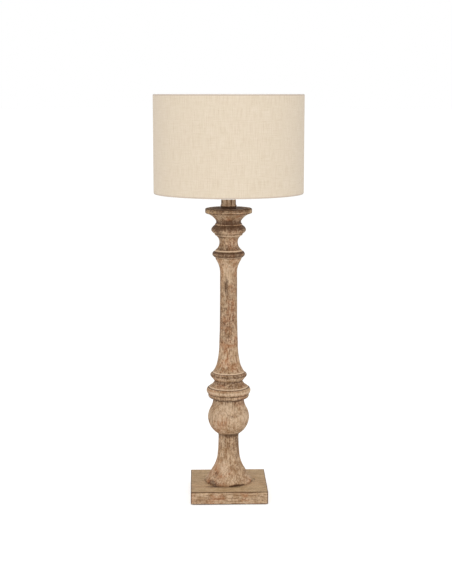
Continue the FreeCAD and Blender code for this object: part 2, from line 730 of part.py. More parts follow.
# The spoke runs level from the washer, then bends down to the bottom wire.
draw(route, [
    (SPOKE_ROOT, MIDDLE),
    ("spoke_level_reach", MIDDLE),
    (WIRE_REACH, BOTTOM_WIRE),
], closed=False)
spoke_section = new_sketch(fitter, "spoke_circle", "YZ_Plane")
draw_circle(spoke_section, "0", MIDDLE, "spoke_radius")
spoke_section.setExpression("AttachmentOffset.Base.z", bound(SPOKE_ROOT))
spoke = fitter.newObject("PartDesign::AdditivePipe", "spoke")
spoke.Profile = spoke_section
spoke.Spine = (route, ["Edge1", "Edge2"])
spoke.Transition = "Round corner"
copies(fitter, spoke, "spoke_count")
wire_ring(fitter, "bottom_wire", BOTTOM_WIRE)

doc.recompute()

# --- Checks, then one file for each piece ----------------------------------------------------------

for item in doc.Objects:
    if "Invalid" in item.State or "Error" in item.State:
        raise RuntimeError(f"{item.Name} did not build: {item.State}")
    if item.TypeId in ("PartDesign::Pocket", "PartDesign::Groove"):
        before = item.BaseFeature.Shape.Volume
        if item.Shape.Volume > before - 0.01:
            raise RuntimeError(f"{item.Name} cuts nothing")

used = {name for item in doc.Objects for name in (entry.Name for entry in item.OutList)}
for item in doc.Objects:
    whole = item.TypeId == "PartDesign::Body" or item.TypeId.startswith("Part::")
    if not whole or (item.TypeId != "PartDesign::Body" and item.Name in used):
        continue
    if item.Shape.isNull() or not item.Shape.isValid():
        raise RuntimeError(f"{item.Label} is not a sound solid")
    item.Shape.exportStep(f"parts/{item.Label}.step")
    print(item.Label, len(item.Shape.Solids), round(item.Shape.Volume, 1))
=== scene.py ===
import math

import bmesh
import bpy
import numpy as np
from mathutils import Matrix, Vector, noise


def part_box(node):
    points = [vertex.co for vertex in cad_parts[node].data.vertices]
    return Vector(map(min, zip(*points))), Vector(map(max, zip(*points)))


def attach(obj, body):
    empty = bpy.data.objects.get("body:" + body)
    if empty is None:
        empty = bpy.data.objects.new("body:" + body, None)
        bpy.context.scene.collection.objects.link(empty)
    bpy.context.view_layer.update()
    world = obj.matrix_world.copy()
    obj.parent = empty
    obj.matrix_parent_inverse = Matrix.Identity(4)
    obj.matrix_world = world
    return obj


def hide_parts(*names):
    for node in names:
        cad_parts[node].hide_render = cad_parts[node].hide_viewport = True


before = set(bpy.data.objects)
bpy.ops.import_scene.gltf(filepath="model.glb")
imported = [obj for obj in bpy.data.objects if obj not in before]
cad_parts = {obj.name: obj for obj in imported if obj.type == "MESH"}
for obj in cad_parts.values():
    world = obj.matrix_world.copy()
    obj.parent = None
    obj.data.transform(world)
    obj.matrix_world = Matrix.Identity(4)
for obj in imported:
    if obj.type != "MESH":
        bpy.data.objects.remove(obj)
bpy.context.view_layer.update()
MM = 0.001

# --- Plinth ---
# A square block of mango wood, sawn and sanded, with its arrises rubbed. The grain runs from left to
# right and old lime wax sits in it. It is bored from below for the nut and from behind for the cord.


def add(tree, kind, inputs=None, output=0, **settings):
    """Add a node with its settings and links, and give back an output, or all of them for None. An input
    is a plain value, the output that feeds it, or a list of outputs where a socket takes several."""
    new = tree.nodes.new(kind)
    for name, value in settings.items():
        setattr(new, name, value)
    for key, value in (inputs or {}).items():
        for feed in value if isinstance(value, list) else [value]:
            if isinstance(feed, bpy.types.NodeSocket):
                tree.links.new(feed, new.inputs[key])
            else:
                new.inputs[key].default_value = feed
    return new.outputs if output is None else new.outputs[output]


def paint(code):
    """An sRGB hex colour as the linear colour that a shader takes."""
    shares = [int(code[place:place + 2], 16) / 255 for place in (1, 3, 5)]
    linear = [share / 12.92 if share <= 0.04045 else ((share + 0.055) / 1.055) ** 2.4 for share in shares]
    return (*linear, 1.0)


def new_material(name, even):
    """A material and its tree. Even holds the values that are the same all over its surface."""
    material = bpy.data.materials.new(name)
    material.use_nodes = True
    for socket, value in even.items():
        material.node_tree.nodes["Principled BSDF"].inputs[socket].default_value = value
    return material, material.node_tree


def grains(vector, size, detail):
    """What a noise texture takes: the vector it reads, its grains' size in millimetres, and its detail."""
    return {"Vector": vector, "Scale": 1 / (size * MM), "Detail": detail, "Roughness": 0.62}


def lay(tree, ground, coats):
    """Lay coats of colour over a ground. A coat is the pattern that spreads it, the pattern's values where
    the coat starts and where it is full, how much it then covers, and its colour."""
    colour = paint(ground)
    for pattern, start, full, cover, code in coats:
        limits = {"Value": pattern, "From Min": start, "From Max": full, "To Max": cover}
        share = add(tree, "ShaderNodeMapRange", limits, interpolation_type="SMOOTHSTEP")
        mixed = {"Factor": share, "A": colour, "B": paint(code)}
        colour = add(tree, "ShaderNodeMix", mixed, "Result", data_type="RGBA")
    return colour


def mingle(tree, total, *shares):
    """Add to a value a share of each of several patterns."""
    for pattern, share in shares:
        total = add(tree, "ShaderNodeMath", {0: pattern, 1: share, 2: total}, operation="MULTIPLY_ADD")
    return total


def connect(tree, colour, rough_pattern, rough, height, depth):
    """Join to the shader a colour, a roughness that follows a pattern, and a relief, depth in metres."""
    limits = {"Value": rough_pattern, "From Min": 0.3, "From Max": 0.7,
              "To Min": rough[0], "To Max": rough[1]}
    bump = add(tree, "ShaderNodeBump", {"Height": height, "Strength": 0.6, "Distance": depth})
    feeds = {"Base Color": colour, "Roughness": add(tree, "ShaderNodeMapRange", limits), "Normal": bump}
    for socket, feed in feeds.items():
        tree.links.new(feed, tree.nodes["Principled BSDF"].inputs[socket])


# How far the pattern of redder heartwood is shifted each way, in metres, and how deep the open grain is
HEARTWOOD_PLACE = (0.052, 1.3, -0.492)
GRAIN_DEPTH = 0.7 * MM


def limed_wood(name, grain, wax="#D9BD9F"):
    """Distressed mango wood under lime wax: a dull brown whose open grain is full of a pinkish off-white,
    rubbed pale on its arrises with a painted highlight, dark with old stain, dirt and painted shade in its
    hollows. Grain is the scale of the pattern's coordinate each way, small along the grain, which is drawn
    about twice as coarse as real."""
    material, tree = new_material(name, {"Specular IOR Level": 0.3})
    spot = add(tree, "ShaderNodeTexCoord", output="Object")
    along = add(tree, "ShaderNodeMapping", {"Vector": spot, "Scale": grain})
    around = add(tree, "ShaderNodeMapping", {"Vector": spot, "Scale": (0.12, 0.12, 1.0)})
    heartwood = add(tree, "ShaderNodeMapping", {"Vector": spot, "Location": HEARTWOOD_PLACE})
    worked = add(tree, "ShaderNodeAttribute", output="Vector", attribute_name="finish")
    relief, stain, wax_and_highlight = add(tree, "ShaderNodeSeparateXYZ", {0: worked}, None)
    figure, streaks, pores, loose, clouds, specks, rings = [
        add(tree, "ShaderNodeTexNoise", grains(*kind), "Fac") for kind in (
            (along, 6.0, 3.0), (along, 2.7, 5.0), (along, 1.7, 2.0), (spot, 12.0, 3.0),
            (heartwood, 38.0, 2.0), (spot, 3.4, 3.0), (around, 2.6, 3.0))]
    held = add(tree, "ShaderNodeMath", {0: streaks, 1: loose}, operation="MULTIPLY")
    # Stain and dirt, with the painted shade that the stain carries, have ragged edges that run level, as
    # they were wiped round, and stop where wax fills the grain. An arris that stands proud is rubbed bare
    # and painted lighter as a highlight, less so under a heavy stain, and a hollow is darkened as dirt and
    # painted shade
    heavy = mingle(tree, stain, (rings, 1.4), (specks, 0.8), (streaks, -2.2))
    proud = mingle(tree, relief, (specks, -0.9), (stain, -0.7))
    waxed = mingle(tree, wax_and_highlight, (streaks, 1.4), (specks, 1.2))
    # The #603D23 coat is stain with painted shade, #4A311E is dirt and painted shade in hollows, #DFC3A4 is
    # wear and a painted highlight on arrises, and the wax coat also paints highlights
    colour = lay(tree, "#8E6946", [
        (figure, 0.38, 0.62, 0.65, "#B18B64"), (clouds, 0.47, 0.64, 0.65, "#AC6F47"),
        (held, 0.16, 0.36, 0.8, "#DDC0A0"), (specks, 0.5, 0.36, 0.35, "#D2B490"),
        (waxed, 1.4, 2.2, 0.75, wax), (specks, 0.52, 0.68, 0.5, "#775536"),
        (pores, 0.52, 0.68, 0.5, "#6A4A2E"), (heavy, 0.05, 1.4, 0.88, "#603D23"),
        (proud, -0.5, -0.95, 0.65, "#4A311E"), (proud, -0.25, 0.1, 0.75, "#DFC3A4")])
    connect(tree, colour, streaks, (0.55, 0.8), mingle(tree, streaks, (pores, -0.5)), GRAIN_DEPTH)
    return material


def bring_in(name, data):
    """Bring a mesh, a light or a camera into the scene as an object of that name."""
    made = bpy.data.objects.new(name, data)
    bpy.context.scene.collection.objects.link(made)
    return made


def keep(shape, name):
    """Keep a shape that bmesh has made as a plain mesh."""
    mesh = bpy.data.meshes.new(name)
    shape.to_mesh(mesh)
    shape.free()
    return mesh


def take_mesh(holder):
    """The plain mesh that a holder's modifiers make of its own. The holder is cleared away."""
    mesh = bpy.data.meshes.new_from_object(holder.evaluated_get(bpy.context.evaluated_depsgraph_get()))
    holder.modifiers.clear()
    bpy.data.objects.remove(holder)
    return mesh


def put(name, mesh, material, body, slot_name, *nodes):
    """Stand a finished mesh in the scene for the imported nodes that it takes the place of."""
    piece = bring_in(name, mesh)
    mesh.materials.clear()
    mesh.materials.append(material)
    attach(piece, body)
    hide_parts(*nodes)
    return piece


def coordinates(mesh, layer="co"):
    """The place of each point of a mesh, or its normal."""
    values = np.zeros(len(mesh.vertices) * 3)
    mesh.vertices.foreach_get(layer, values)
    return values.reshape(-1, 3)


def settle(mesh, places):
    """Move the points of a mesh to their new places."""
    mesh.vertices.foreach_set("co", places.ravel())
    mesh.update()


def rough_noise(places, size, seed):
    """Noise from -1 to 1 at each place, with grains of about that size."""
    return np.array([noise.noise(Vector(place) / size + Vector([seed] * 3)) for place in places])


def write_finish_and_painted_light(mesh, relief, stain, wax_and_highlight):
    """Keep on each point how proud it stands, and how heavy the stain and the wax lie there. These also
    carry painted shade and painted highlights.
    """
    finish = np.stack([np.broadcast_to(part, len(mesh.vertices)) for part in (relief, stain, wax_and_highlight)], 1)
    mesh.attributes.new("finish", "FLOAT_VECTOR", "POINT").data.foreach_set("vector", finish.ravel())


def knock(mesh, marks):
    """Dent, stain and wax a mesh in soft spots. A mark is its middle, its reach each way and its depth, all
    in millimetres, and the stain and wax that it adds. A dent counts as a hollow, darkened as dirt and
    painted shade."""
    places, normals = coordinates(mesh), coordinates(mesh, "normal")
    finish = np.zeros(places.size)
    mesh.attributes["finish"].data.foreach_get("vector", finish)
    finish = finish.reshape(-1, 3)
    for middle, reach, depth, stain, wax in marks:
        nearness = np.exp(-(((places - np.array(middle) * MM) / (np.array(reach) * MM)) ** 2).sum(1))
        places -= normals * (nearness * depth * MM)[:, None]
        finish += nearness[:, None] * (-0.6 * depth, stain, wax)
    mesh.attributes["finish"].data.foreach_set("vector", finish.ravel())
    settle(mesh, places)


def worn_block(low, high, cell, rounding, wear):
    """A block in even cells, whose faces sag a little here and there. Its arrises are rubbed round, and
    bitten as deep as wear says by broad bites with small ones in them."""
    made = bmesh.new()
    bmesh.ops.create_cube(made, size=1.0)
    for axis in range(3):
        count = max(2, round((high[axis] - low[axis]) / cell))
        normal = Vector([axis == other for other in range(3)])
        for cut in range(1, count):
            where = normal * (cut / count - 0.5)
            parts = made.verts[:] + made.edges[:] + made.faces[:]
            bmesh.ops.bisect_plane(made, geom=parts, plane_co=where, plane_no=normal)
    mesh = keep(made, "worn_block")
    low, high = np.array(low), np.array(high)
    places = (coordinates(mesh) + 0.5) * (high - low) + low
    core = np.clip(places, low + rounding, high - rounding)
    away = places - core
    on_arris = (np.abs(away) > 1e-9).sum(1) > 1
    normal = away / np.maximum(np.linalg.norm(away, axis=1), 1e-9)[:, None]
    bites = np.clip(rough_noise(places, 11 * MM, 3.1) + rough_noise(places, 4 * MM, 7.7) * 0.5 - 0.25, 0, 1)
    sag = rough_noise(places, 45 * MM, 1.3) * 0.3 * MM + rough_noise(places, 9 * MM, 5.9) * 0.08 * MM
    places = core + normal * rounding
    places -= normal * (on_arris * bites * wear - np.minimum(sag, 0))[:, None]
    settle(mesh, places)
    return mesh


def bored(mesh, bores):
    """Drill a block. A bore is its radius, its two ends and how many sides it has."""
    holder = bring_in("holder", mesh)
    drills = []
    for radius, start, end, sides in bores:
        way = Vector(end) - Vector(start)
        turned = way.to_track_quat("Z", "Y").to_matrix().to_4x4()
        place = Matrix.Translation((Vector(start) + Vector(end)) / 2) @ turned
        made = bmesh.new()
        bmesh.ops.create_cone(made, cap_ends=True, segments=sides, radius1=radius, radius2=radius,
                              depth=way.length, matrix=place)
        drill = bring_in("drill", keep(made, "drill"))
        cut = holder.modifiers.new("bore", "BOOLEAN")
        cut.operation, cut.solver, cut.object = "DIFFERENCE", "EXACT", drill
        drills.append(drill)
    drilled = take_mesh(holder)
    for drill in drills:
        bpy.data.objects.remove(drill)
    return drilled


plinth_low, plinth_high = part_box("plinth")
PLINTH_CELL = 1.6 * MM
PLINTH_ROUNDING = 1.3 * MM
PLINTH_WEAR = 1.0 * MM
# The bores, in millimetres: for the tube, for the nut below, and for the cord, whose level is above the
# block's underside. The drills run past the block's top and back
WOOD_BORE = 5.6
RECESS_RADIUS, RECESS_TOP = 17.0, 16.5
CORD_BORE, CORD_LEVEL = 4.5, 8.5
PAST_TOP, PAST_BACK = 30, 1
cord_level = plinth_low.z + CORD_LEVEL * MM
plinth_mesh = bored(worn_block(plinth_low, plinth_high, PLINTH_CELL, PLINTH_ROUNDING, PLINTH_WEAR), [
    (RECESS_RADIUS * MM, (0, 0, 0), (0, 0, RECESS_TOP * MM), 64),
    (WOOD_BORE * MM, (0, 0, 0), (0, 0, PAST_TOP * MM), 32),
    (CORD_BORE * MM, (0, 0, cord_level), (0, plinth_high.y + PAST_BACK * MM, cord_level), 32)])

# A dark line of painted shade lies along the arrises, and worn wood with a painted highlight beside it on
# the upright faces
ARRIS_SHADE_WIDTH = 1.4 * MM
WEAR_AND_HIGHLIGHT_INSET = 3.6 * MM
WEAR_AND_HIGHLIGHT_WIDTH = 1.6 * MM
TOP_BAND = 2.5 * MM
# Painted shade lies round the column's foot, this far out from it and this wide, in millimetres
FOOT_RADIUS, FOOT_SHADE_GAP, FOOT_SHADE_WIDTH = 46.5, 1, 3
spots = coordinates(plinth_mesh)
from_arris = np.sort(np.minimum(spots - np.array(plinth_low), np.array(plinth_high) - spots), axis=1)[:, 1]
on_top = spots[:, 2] > plinth_high.z - TOP_BAND
from_axis = np.hypot(spots[:, 0], spots[:, 1]) / MM
near_foot = np.exp(-((from_axis - FOOT_RADIUS - FOOT_SHADE_GAP) / FOOT_SHADE_WIDTH) ** 2)
painted_arris_shade = np.exp(-(from_arris / ARRIS_SHADE_WIDTH) ** 2)
arris_wear_and_highlight = np.exp(-((from_arris - WEAR_AND_HIGHLIGHT_INSET) / WEAR_AND_HIGHLIGHT_WIDTH) ** 2) * ~on_top
# Painted light: the stain gives painted shade along the arrises and round the foot, and darkens the sides a
# little, while much more wax makes the top paler, as painted light on the top face
plinth_stain_and_shade = 1.3 * painted_arris_shade + 0.4 * on_top * near_foot + 0.15 * ~on_top
write_finish_and_painted_light(plinth_mesh, 0.5 * arris_wear_and_highlight, plinth_stain_and_shade, np.where(on_top, 0.7, 0.1))
top = plinth_high.z / MM
knock(plinth_mesh, [
    # Painted shadow in a shallow dent by the foot at the front left, and a chipped knot to its right
    ((-31, -42, top), (17, 6, 9), 0.3, 0.5, -0.4), ((54, 6, top), (2.4, 9, 5), 0.5, 0.15, 0.2),
    ((49, 13, top), (5, 2.4, 5), 0.4, 0.1, 0.2)])
plinth_wood = limed_wood("limed_mango_wood_grain_across", (1 / 12, 1.0, 1.0), wax="#D2B388")
put("plinth_block", plinth_mesh, plinth_wood, "stand", "limed_wood", "plinth")

# --- Felt pad ---
# A square of dark brown wool felt, die-cut and glued under the plinth. It closes the recess and keeps
# the block off the table.


def mottled(name, ground, tone, grain_mm, rough, depth_mm, stretch=(1, 1, 1), even=None):
    """A material of one stuff, whose colour and roughness wander between two tones and whose fine relief
    has grains of grain_mm, drawn out each way as stretch says."""
    material, tree = new_material(name, even or {})
    spot = add(tree, "ShaderNodeTexCoord", output="Object")
    worked = add(tree, "ShaderNodeMapping", {"Vector": spot, "Scale": stretch})
    fine, broad = [add(tree, "ShaderNodeTexNoise", grains(*kind), "Fac") for kind in (
        (worked, grain_mm, 5.0), (spot, grain_mm * 9, 3.0))]
    colour = lay(tree, ground, [(fine, 0.35, 0.65, 0.7, tone), (broad, 0.4, 0.65, 0.5, tone)])
    connect(tree, colour, broad, rough, fine, depth_mm * MM)
    return material


# Wool felt is matt, with short fibres that lie every way
felt = mottled("pressed_wool_felt", "#3A2A20", "#5C4738", 1.0, (0.9, 1.0), 0.5,
               even={"Specular IOR Level": 0.1, "Sheen Weight": 0.25})
pad_low, pad_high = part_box("base_pad")
PAD_CELL = 3.0 * MM
PAD_ROUNDING = 0.4 * MM
PAD_WEAR = 0.2 * MM
pad_mesh = worn_block(pad_low, pad_high, PAD_CELL, PAD_ROUNDING, PAD_WEAR)
pad = put("felt_pad", pad_mesh, felt, "stand", "felt", "base_pad")

# --- Column ---
# One length of the same wood, turned between centres: foot, ball, collars, tapered shaft and capital.
# The maker then rubs through the arrises, and leaves stain in the quirks and lime wax in the grain.

# Each moulding from the plinth up: the radius that it ends at, its height, the bow of its face, and how
# heavy the brown stain lies at its foot and at its head, where a value under 0 is bare and waxed. The stain
# is partly painted light: heavier stain paints the shade that the drum casts on the capital and the shade
# along the beads and quirks, and the bare, waxed values paint highlights on the arrises
MOULDINGS = [
    (44.5, 8.0, 1.8, 0.3, 0.1), (34.1, 17.0, -0.6, 0.05, 0.0), (22.2, 32.0, -2.1, -0.08, 0.05),
    (20.1, 40.0, -0.5, 0.1, 0.2), (21.0, 5.0, 0, 0.3, 0.3), (41.9, 34.0, 5.1, 0.15, -0.1),
    (37.3, 18.0, 1.1, -0.2, -0.15), (31.0, 19.0, -1.15, -0.1, 0.3), (30.9, 3.5, 0, 0.5, 0.7),
    (38.6, 1.5, 0, 1.2, 0.9), (40.6, 7.4, 1.5, 0.7, 0.1), (44.2, 4.7, 0.5, 0.8, 0.0),
    (42.3, 8.1, 1.1, -0.45, 0.1), (39.8, 0.9, 0, 0.8, 0.7), (38.6, 1.9, 0, -1.1, -1.0),
    (28.1, 11.0, -1.3, 0.2, 0.4), (28.0, 1.0, 0, 0.8, 0.8), (35.5, 8.6, 0, 0.55, -0.3),
    (36.9, 2.7, 0.2, -0.1, 0.7), (34.6, 4.5, 0.8, 0.8, 0.35), (32.4, 0.8, 0, 0.8, 0.5),
    (31.6, 2.0, 0, -0.8, -0.8), (22.3, 21.8, -1.4, 0.2, 0.05), (18.5, 37.6, -1.0, 0.05, 0.15),
    (17.1, 63.0, -0.3, 0.25, 0.3), (16.8, 78.0, 0, 0.3, 0.2), (25.0, 30.0, -2.5, 0.1, 0.0),
    (26.6, 4.6, 0, -0.2, 0.5), (28.2, 1.2, 0, -0.2, -0.3), (31.2, 2.4, 0.2, 0.2, 0.8),
    (32.3, 3.7, 0.4, 0.9, 0.5), (29.3, 4.7, 0.6, 0.7, 1.5), (27.0, 0.7, 0, 0.2, -0.4),
    (26.2, 1.9, 0, -0.8, -0.9), (18.1, 15.8, -2.3, 0.5, 0.25),
    (24.8, 13.7, -2.0, 0.25, 0.25), (27.4, 1.3, 0, -0.4, -0.4), (27.8, 2.9, 0, 0.3, 0.3),
    (29.2, 15.5, 6.0, 0.1, 0.85), (27.6, 0.9, 0, 1.3, 1.2), (27.0, 2.3, 0, 0.0, 0.15),
    (26.2, 9.4, -2.1, 0.7, 0.4), (45.6, 13.0, -2.1, 0.3, 0.0),
]


# The bow and the stain at each end of a face that is given by its corner alone
PLAIN = (0, 0.3, 0.3)


def turned_path(corners, step):
    """Points at an even step along a turned face, each with its stain. A corner is (radius, height, bow,
    stain at the start, stain at the end) for the face that arrives there, with bow outward above 0."""
    points = [(*corners[0][:2], PLAIN[1])]
    for corner in corners[1:]:
        end_radius, end_height, bow, low_stain, high_stain = (*corner, *PLAIN)[:5]
        start, end = np.array(points[-1][:2]), np.array((end_radius, end_height), float)
        chord = end - start
        count = max(2, round(np.linalg.norm(chord) / step))
        right = np.array([chord[1], -chord[0]]) / np.linalg.norm(chord)
        for share in np.arange(1, count + 1) / count:
            stain = low_stain + (high_stain - low_stain) * share * share * (3 - 2 * share)
            points.append((*(start + chord * share + right * bow * 4 * share * (1 - share)), stain))
    return np.array(points)


def rub(points, times):
    """Rub the arrises of a turned face round: each point moves towards the middle of its neighbours."""
    for _ in range(times):
        points[1:-1, :2] += (points[:-2, :2] + points[2:, :2] - 2 * points[1:-1, :2]) / 4
    return points


def relief_of(points, reach):
    """How far each point stands proud of the face around it, in millimetres: under 0 in a hollow."""
    padded = np.pad(points, ((reach, reach), (0, 0)), mode="edge")
    around = np.array([padded[place:place + 2 * reach + 1].mean(0) for place in range(len(points))])
    way = np.gradient(points, axis=0)
    right = np.stack([way[:, 1], -way[:, 0]], 1) / np.linalg.norm(way, axis=1)[:, None]
    return ((points - around) * right).sum(1)


def new_group(name, *values):
    """A tree of geometry nodes that takes and gives geometry. Values are its inputs, each a name with the
    kind of socket. It gives back the tree and the outputs of its input node."""
    tree = bpy.data.node_groups.new(name, "GeometryNodeTree")
    tree.interface.new_socket("Geometry", in_out="OUTPUT", socket_type="NodeSocketGeometry")
    for value, kind in (("Geometry", "Geometry"), *values, ("Material", "Material")):
        tree.interface.new_socket(value, in_out="INPUT", socket_type="NodeSocket" + kind)
    return tree, add(tree, "NodeGroupInput", output=None)


def close_group(tree, geometry, material):
    """End a tree with real, smooth geometry that carries its material."""
    real = add(tree, "GeometryNodeRealizeInstances", {0: geometry})
    smooth = add(tree, "GeometryNodeSetShadeSmooth", {0: real})
    done = add(tree, "GeometryNodeSetMaterial", {"Geometry": smooth, "Material": material})
    add(tree, "NodeGroupOutput", {0: done}, None)
    return tree


def turning_tree():
    """Geometry nodes that turn an outline about the upright axis, then wear the surface: slow dents, a
    raised grain that runs up the piece, and bites out of whatever stands proud."""
    tree, given = new_group("turning", ("Segments", "Int"), ("Dents", "Float"), ("Grain", "Float"),
                            ("Bites", "Float"), ("Bore", "Float"), ("Seed", "Float"))
    outline = given["Geometry"]
    # One row of a grid for each point of the outline, one column for each step round the axis
    rows = add(tree, "GeometryNodeAttributeDomainSize", {"Geometry": outline}, "Point Count")
    columns = add(tree, "FunctionNodeIntegerMath", {0: given["Segments"], 1: 1}, operation="ADD")
    grid = add(tree, "GeometryNodeMeshGrid", {"Vertices X": rows, "Vertices Y": columns})
    index = add(tree, "GeometryNodeInputIndex")
    row, column = [add(tree, "FunctionNodeIntegerMath", {0: index, 1: columns}, operation=way)
                   for way in ("DIVIDE_FLOOR", "MODULO")]
    here = add(tree, "GeometryNodeInputPosition")
    finish = add(tree, "GeometryNodeInputNamedAttribute", {"Name": "finish"}, data_type="FLOAT_VECTOR")
    corner, kept = [
        add(tree, "GeometryNodeSampleIndex", {"Geometry": outline, "Value": value, "Index": row},
            data_type="FLOAT_VECTOR") for value in (here, finish)]
    share = add(tree, "ShaderNodeMath", {0: column, 1: given["Segments"]}, operation="DIVIDE")
    angle = add(tree, "ShaderNodeMath", {0: share, 1: 2 * math.pi}, operation="MULTIPLY")
    seat = add(tree, "ShaderNodeVectorRotate", {"Vector": corner, "Axis": (0, 0, 1), "Angle": angle})
    stored = add(tree, "GeometryNodeStoreNamedAttribute", {
        "Geometry": grid, "Name": "finish", "Value": kept}, data_type="FLOAT_VECTOR")
    shaped = add(tree, "GeometryNodeSetPosition", {"Geometry": stored, "Position": seat})
    closed = add(tree, "GeometryNodeMergeByDistance", {"Geometry": shaped, "Distance": 1e-6})

    moved = add(tree, "ShaderNodeVectorMath", {0: here, 1: given["Seed"]}, operation="ADD")
    upward = add(tree, "ShaderNodeVectorMath", {0: moved, 1: (1, 1, 0.08)}, operation="MULTIPLY")
    dents, grain, bites = [add(tree, "ShaderNodeTexNoise", grains(*kind), "Fac") for kind in (
        (moved, 26.0, 2.0), (upward, 3.4, 2.0), (moved, 7.0, 3.0))]
    relief = add(tree, "ShaderNodeSeparateXYZ", {0: finish})
    bitten = add(tree, "ShaderNodeMapRange", {
        "Value": bites, "From Min": 0.5, "From Max": 0.9, "To Max": relief})
    depth = mingle(tree, 0.0, (dents, given["Dents"]), (grain, given["Grain"]), (bitten, given["Bites"]))
    # The wear pushes the surface in along its normal, and leaves the bore alone
    level = add(tree, "ShaderNodeVectorMath", {0: here, 1: (1, 1, 0)}, operation="MULTIPLY")
    reach = add(tree, "ShaderNodeVectorMath", {0: level}, "Value", operation="LENGTH")
    shown = add(tree, "ShaderNodeMath", {0: reach, 1: given["Bore"]}, operation="GREATER_THAN")
    inward = add(tree, "ShaderNodeMath", {0: depth, 1: -1.0}, operation="MULTIPLY")
    normal = add(tree, "GeometryNodeInputNormal")
    offset = add(tree, "ShaderNodeVectorMath", {0: normal, "Scale": inward}, operation="SCALE")
    worn = add(tree, "GeometryNodeSetPosition", {"Geometry": closed, "Selection": shown, "Offset": offset})
    return close_group(tree, worn, given["Material"])


def grow(source, tree, values):
    """Run a tree of geometry nodes on a mesh and keep the plain mesh that comes out, facing outward."""
    holder = bring_in("holder", source)
    modifier = holder.modifiers.new("making", "NODES")
    modifier.node_group = tree
    for item in tree.interface.items_tree:
        if item.item_type == "SOCKET" and item.in_out == "INPUT" and item.name in values:
            modifier[item.identifier] = values[item.name]
    mesh = take_mesh(holder)
    made = bmesh.new()
    made.from_mesh(mesh)
    bmesh.ops.recalc_face_normals(made, faces=made.faces[:])
    made.to_mesh(mesh)
    made.free()
    return mesh


turning = turning_tree()
ROW_STEP = 1.0
# Relief, which the wood's colour turns into dirt and painted shade in hollows and wear and painted
# highlights on arrises, is made stronger, and a bend that is slighter than the least relief counts as a
# flat face
RELIEF_GAIN = 3
LEAST_RELIEF = 0.12


def turn(corners, bore, material, segments, rubs=1, dents=0.0, grain=0.0, bites=0.0, seed=0.0,
         step=ROW_STEP):
    """Turn one piece from the corners of its shown face, with a bore up its middle, in millimetres. Rubs,
    dents, grain and bites are how worn it is. Where its stain is under 0, it holds more wax."""
    face = rub(turned_path(corners, step), rubs)
    sharp = RELIEF_GAIN * relief_of(face[:, :2], 1)
    relief = np.sign(sharp) * np.maximum(np.abs(sharp) - LEAST_RELIEF, 0)
    hidden = [(bore, corners[-1][1]), (bore, corners[0][1])]
    points = np.concatenate([face[:, :2], np.array(hidden, float), face[:1, :2]]) * MM
    outline = bpy.data.meshes.new("outline")
    outline.from_pydata([(radius, 0, height) for radius, height in points], [], [])
    rest = len(hidden) + 1
    write_finish_and_painted_light(outline, np.pad(relief, (0, rest)), np.pad(face[:, 2], (0, rest)),
                 np.pad(0.1 - 2.5 * np.minimum(face[:, 2], 0), (0, rest)))
    values = {"Segments": segments, "Dents": dents * MM, "Grain": grain * MM, "Bites": bites * MM,
              "Bore": (bore + 1) * MM, "Seed": seed, "Material": material}
    return grow(outline, turning, values)


column_wood = limed_wood("limed_mango_wood_grain_up", (1.0, 1.0, 1 / 8))
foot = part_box("column")[0].z / MM
corners = [(WOOD_BORE + 2, foot), (FOOT_RADIUS, foot)]
for radius, rise, bow, low_stain, high_stain in MOULDINGS:
    corners.append((radius, corners[-1][1] + rise, bow, low_stain, high_stain))
column_top = corners[-1][1]
corners.append((WOOD_BORE + 2, column_top))
column_mesh = turn(corners, WOOD_BORE, column_wood, 132, dents=0.6, grain=0.3, bites=1.0, seed=0.37)


def at(turned, radius, height):
    """A place on the column: degrees from the front towards its right, radius, and height above the
    plinth, in millimetres."""
    return radius * math.sin(math.radians(turned)), -radius * math.cos(math.radians(turned)), foot + height


# The split along the foot's front right: degrees from the front, and how wide it gapes there
SPLIT = [(3, 0.0), (8, 0.3), (13, 0.8), (18, 1.0), (23, 1.0), (28, 0.7), (33, 0.3), (39, 0.1)]
marks = [(at(turned, FOOT_RADIUS, 1.5), (2.6, 2.6, 1.3 + 1.3 * gape), 1.2 + 1.6 * gape, 1.0, -0.3)
         for turned, gape in SPLIT]
# Other marks: painted shadow low on the foot's left where it meets the plinth, a smudge higher up there and
# a darker patch under the ball, wax with a painted highlight on the foot's hollow, the ball and the top of
# the shaft, and a brown run down the shaft
marks += [
    (at(-46, 45, 4), (12, 12, 5), 0.5, 0.45, -0.2), (at(-42, 38, 23), (10, 10, 7), 0.2, 0.3, -0.2),
    (at(-18, 30, 36), (9, 9, 19), 0.0, -0.3, 0.75), (at(10, 40, 16), (20, 14, 8), 0.0, -0.2, 0.35),
    (at(8, 21, 102), (15, 15, 4), 0.3, 0.45, -0.2), (at(60, 22, 80), (9, 9, 40), 0.0, 0.3, -0.1),
    (at(-4, 43, 165), (19, 19, 12), 0.0, -0.3, 0.9), (at(12, 44, 147), (17, 17, 5), 0.2, 0.4, -0.3),
    (at(0, 18, 443), (9, 9, 24), 0.0, -0.3, 0.6), (at(-16, 18, 412), (4, 4, 15), 0.2, 0.5, -0.3),
    (at(0, 18, 310), (25, 25, 45), 0.0, 0.05, -0.4), (at(30, 18, 300), (6, 8, 30), 0.0, -0.1, 0.4),
    (at(5, 27, 537), (14, 14, 5), 0.2, 0.6, -0.3), (at(-45, 28, 515), (9, 9, 9), 0.4, 0.3, 0.0),
]
knock(column_mesh, marks)
put("turned_column", column_mesh, column_wood, "stand", "limed_wood", "column")

# --- Drip pan ---
# A separate disc of the same wood, turned flat, that sits on the capital. Wax was rubbed off its rim, and
# its top is dark with stain and painted shade, which deepens towards the sleeve.


def extent(label):
    """The radius, foot and top of a round node, in millimetres."""
    low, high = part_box(label)
    return high.x / MM, low.z / MM, high.z / MM


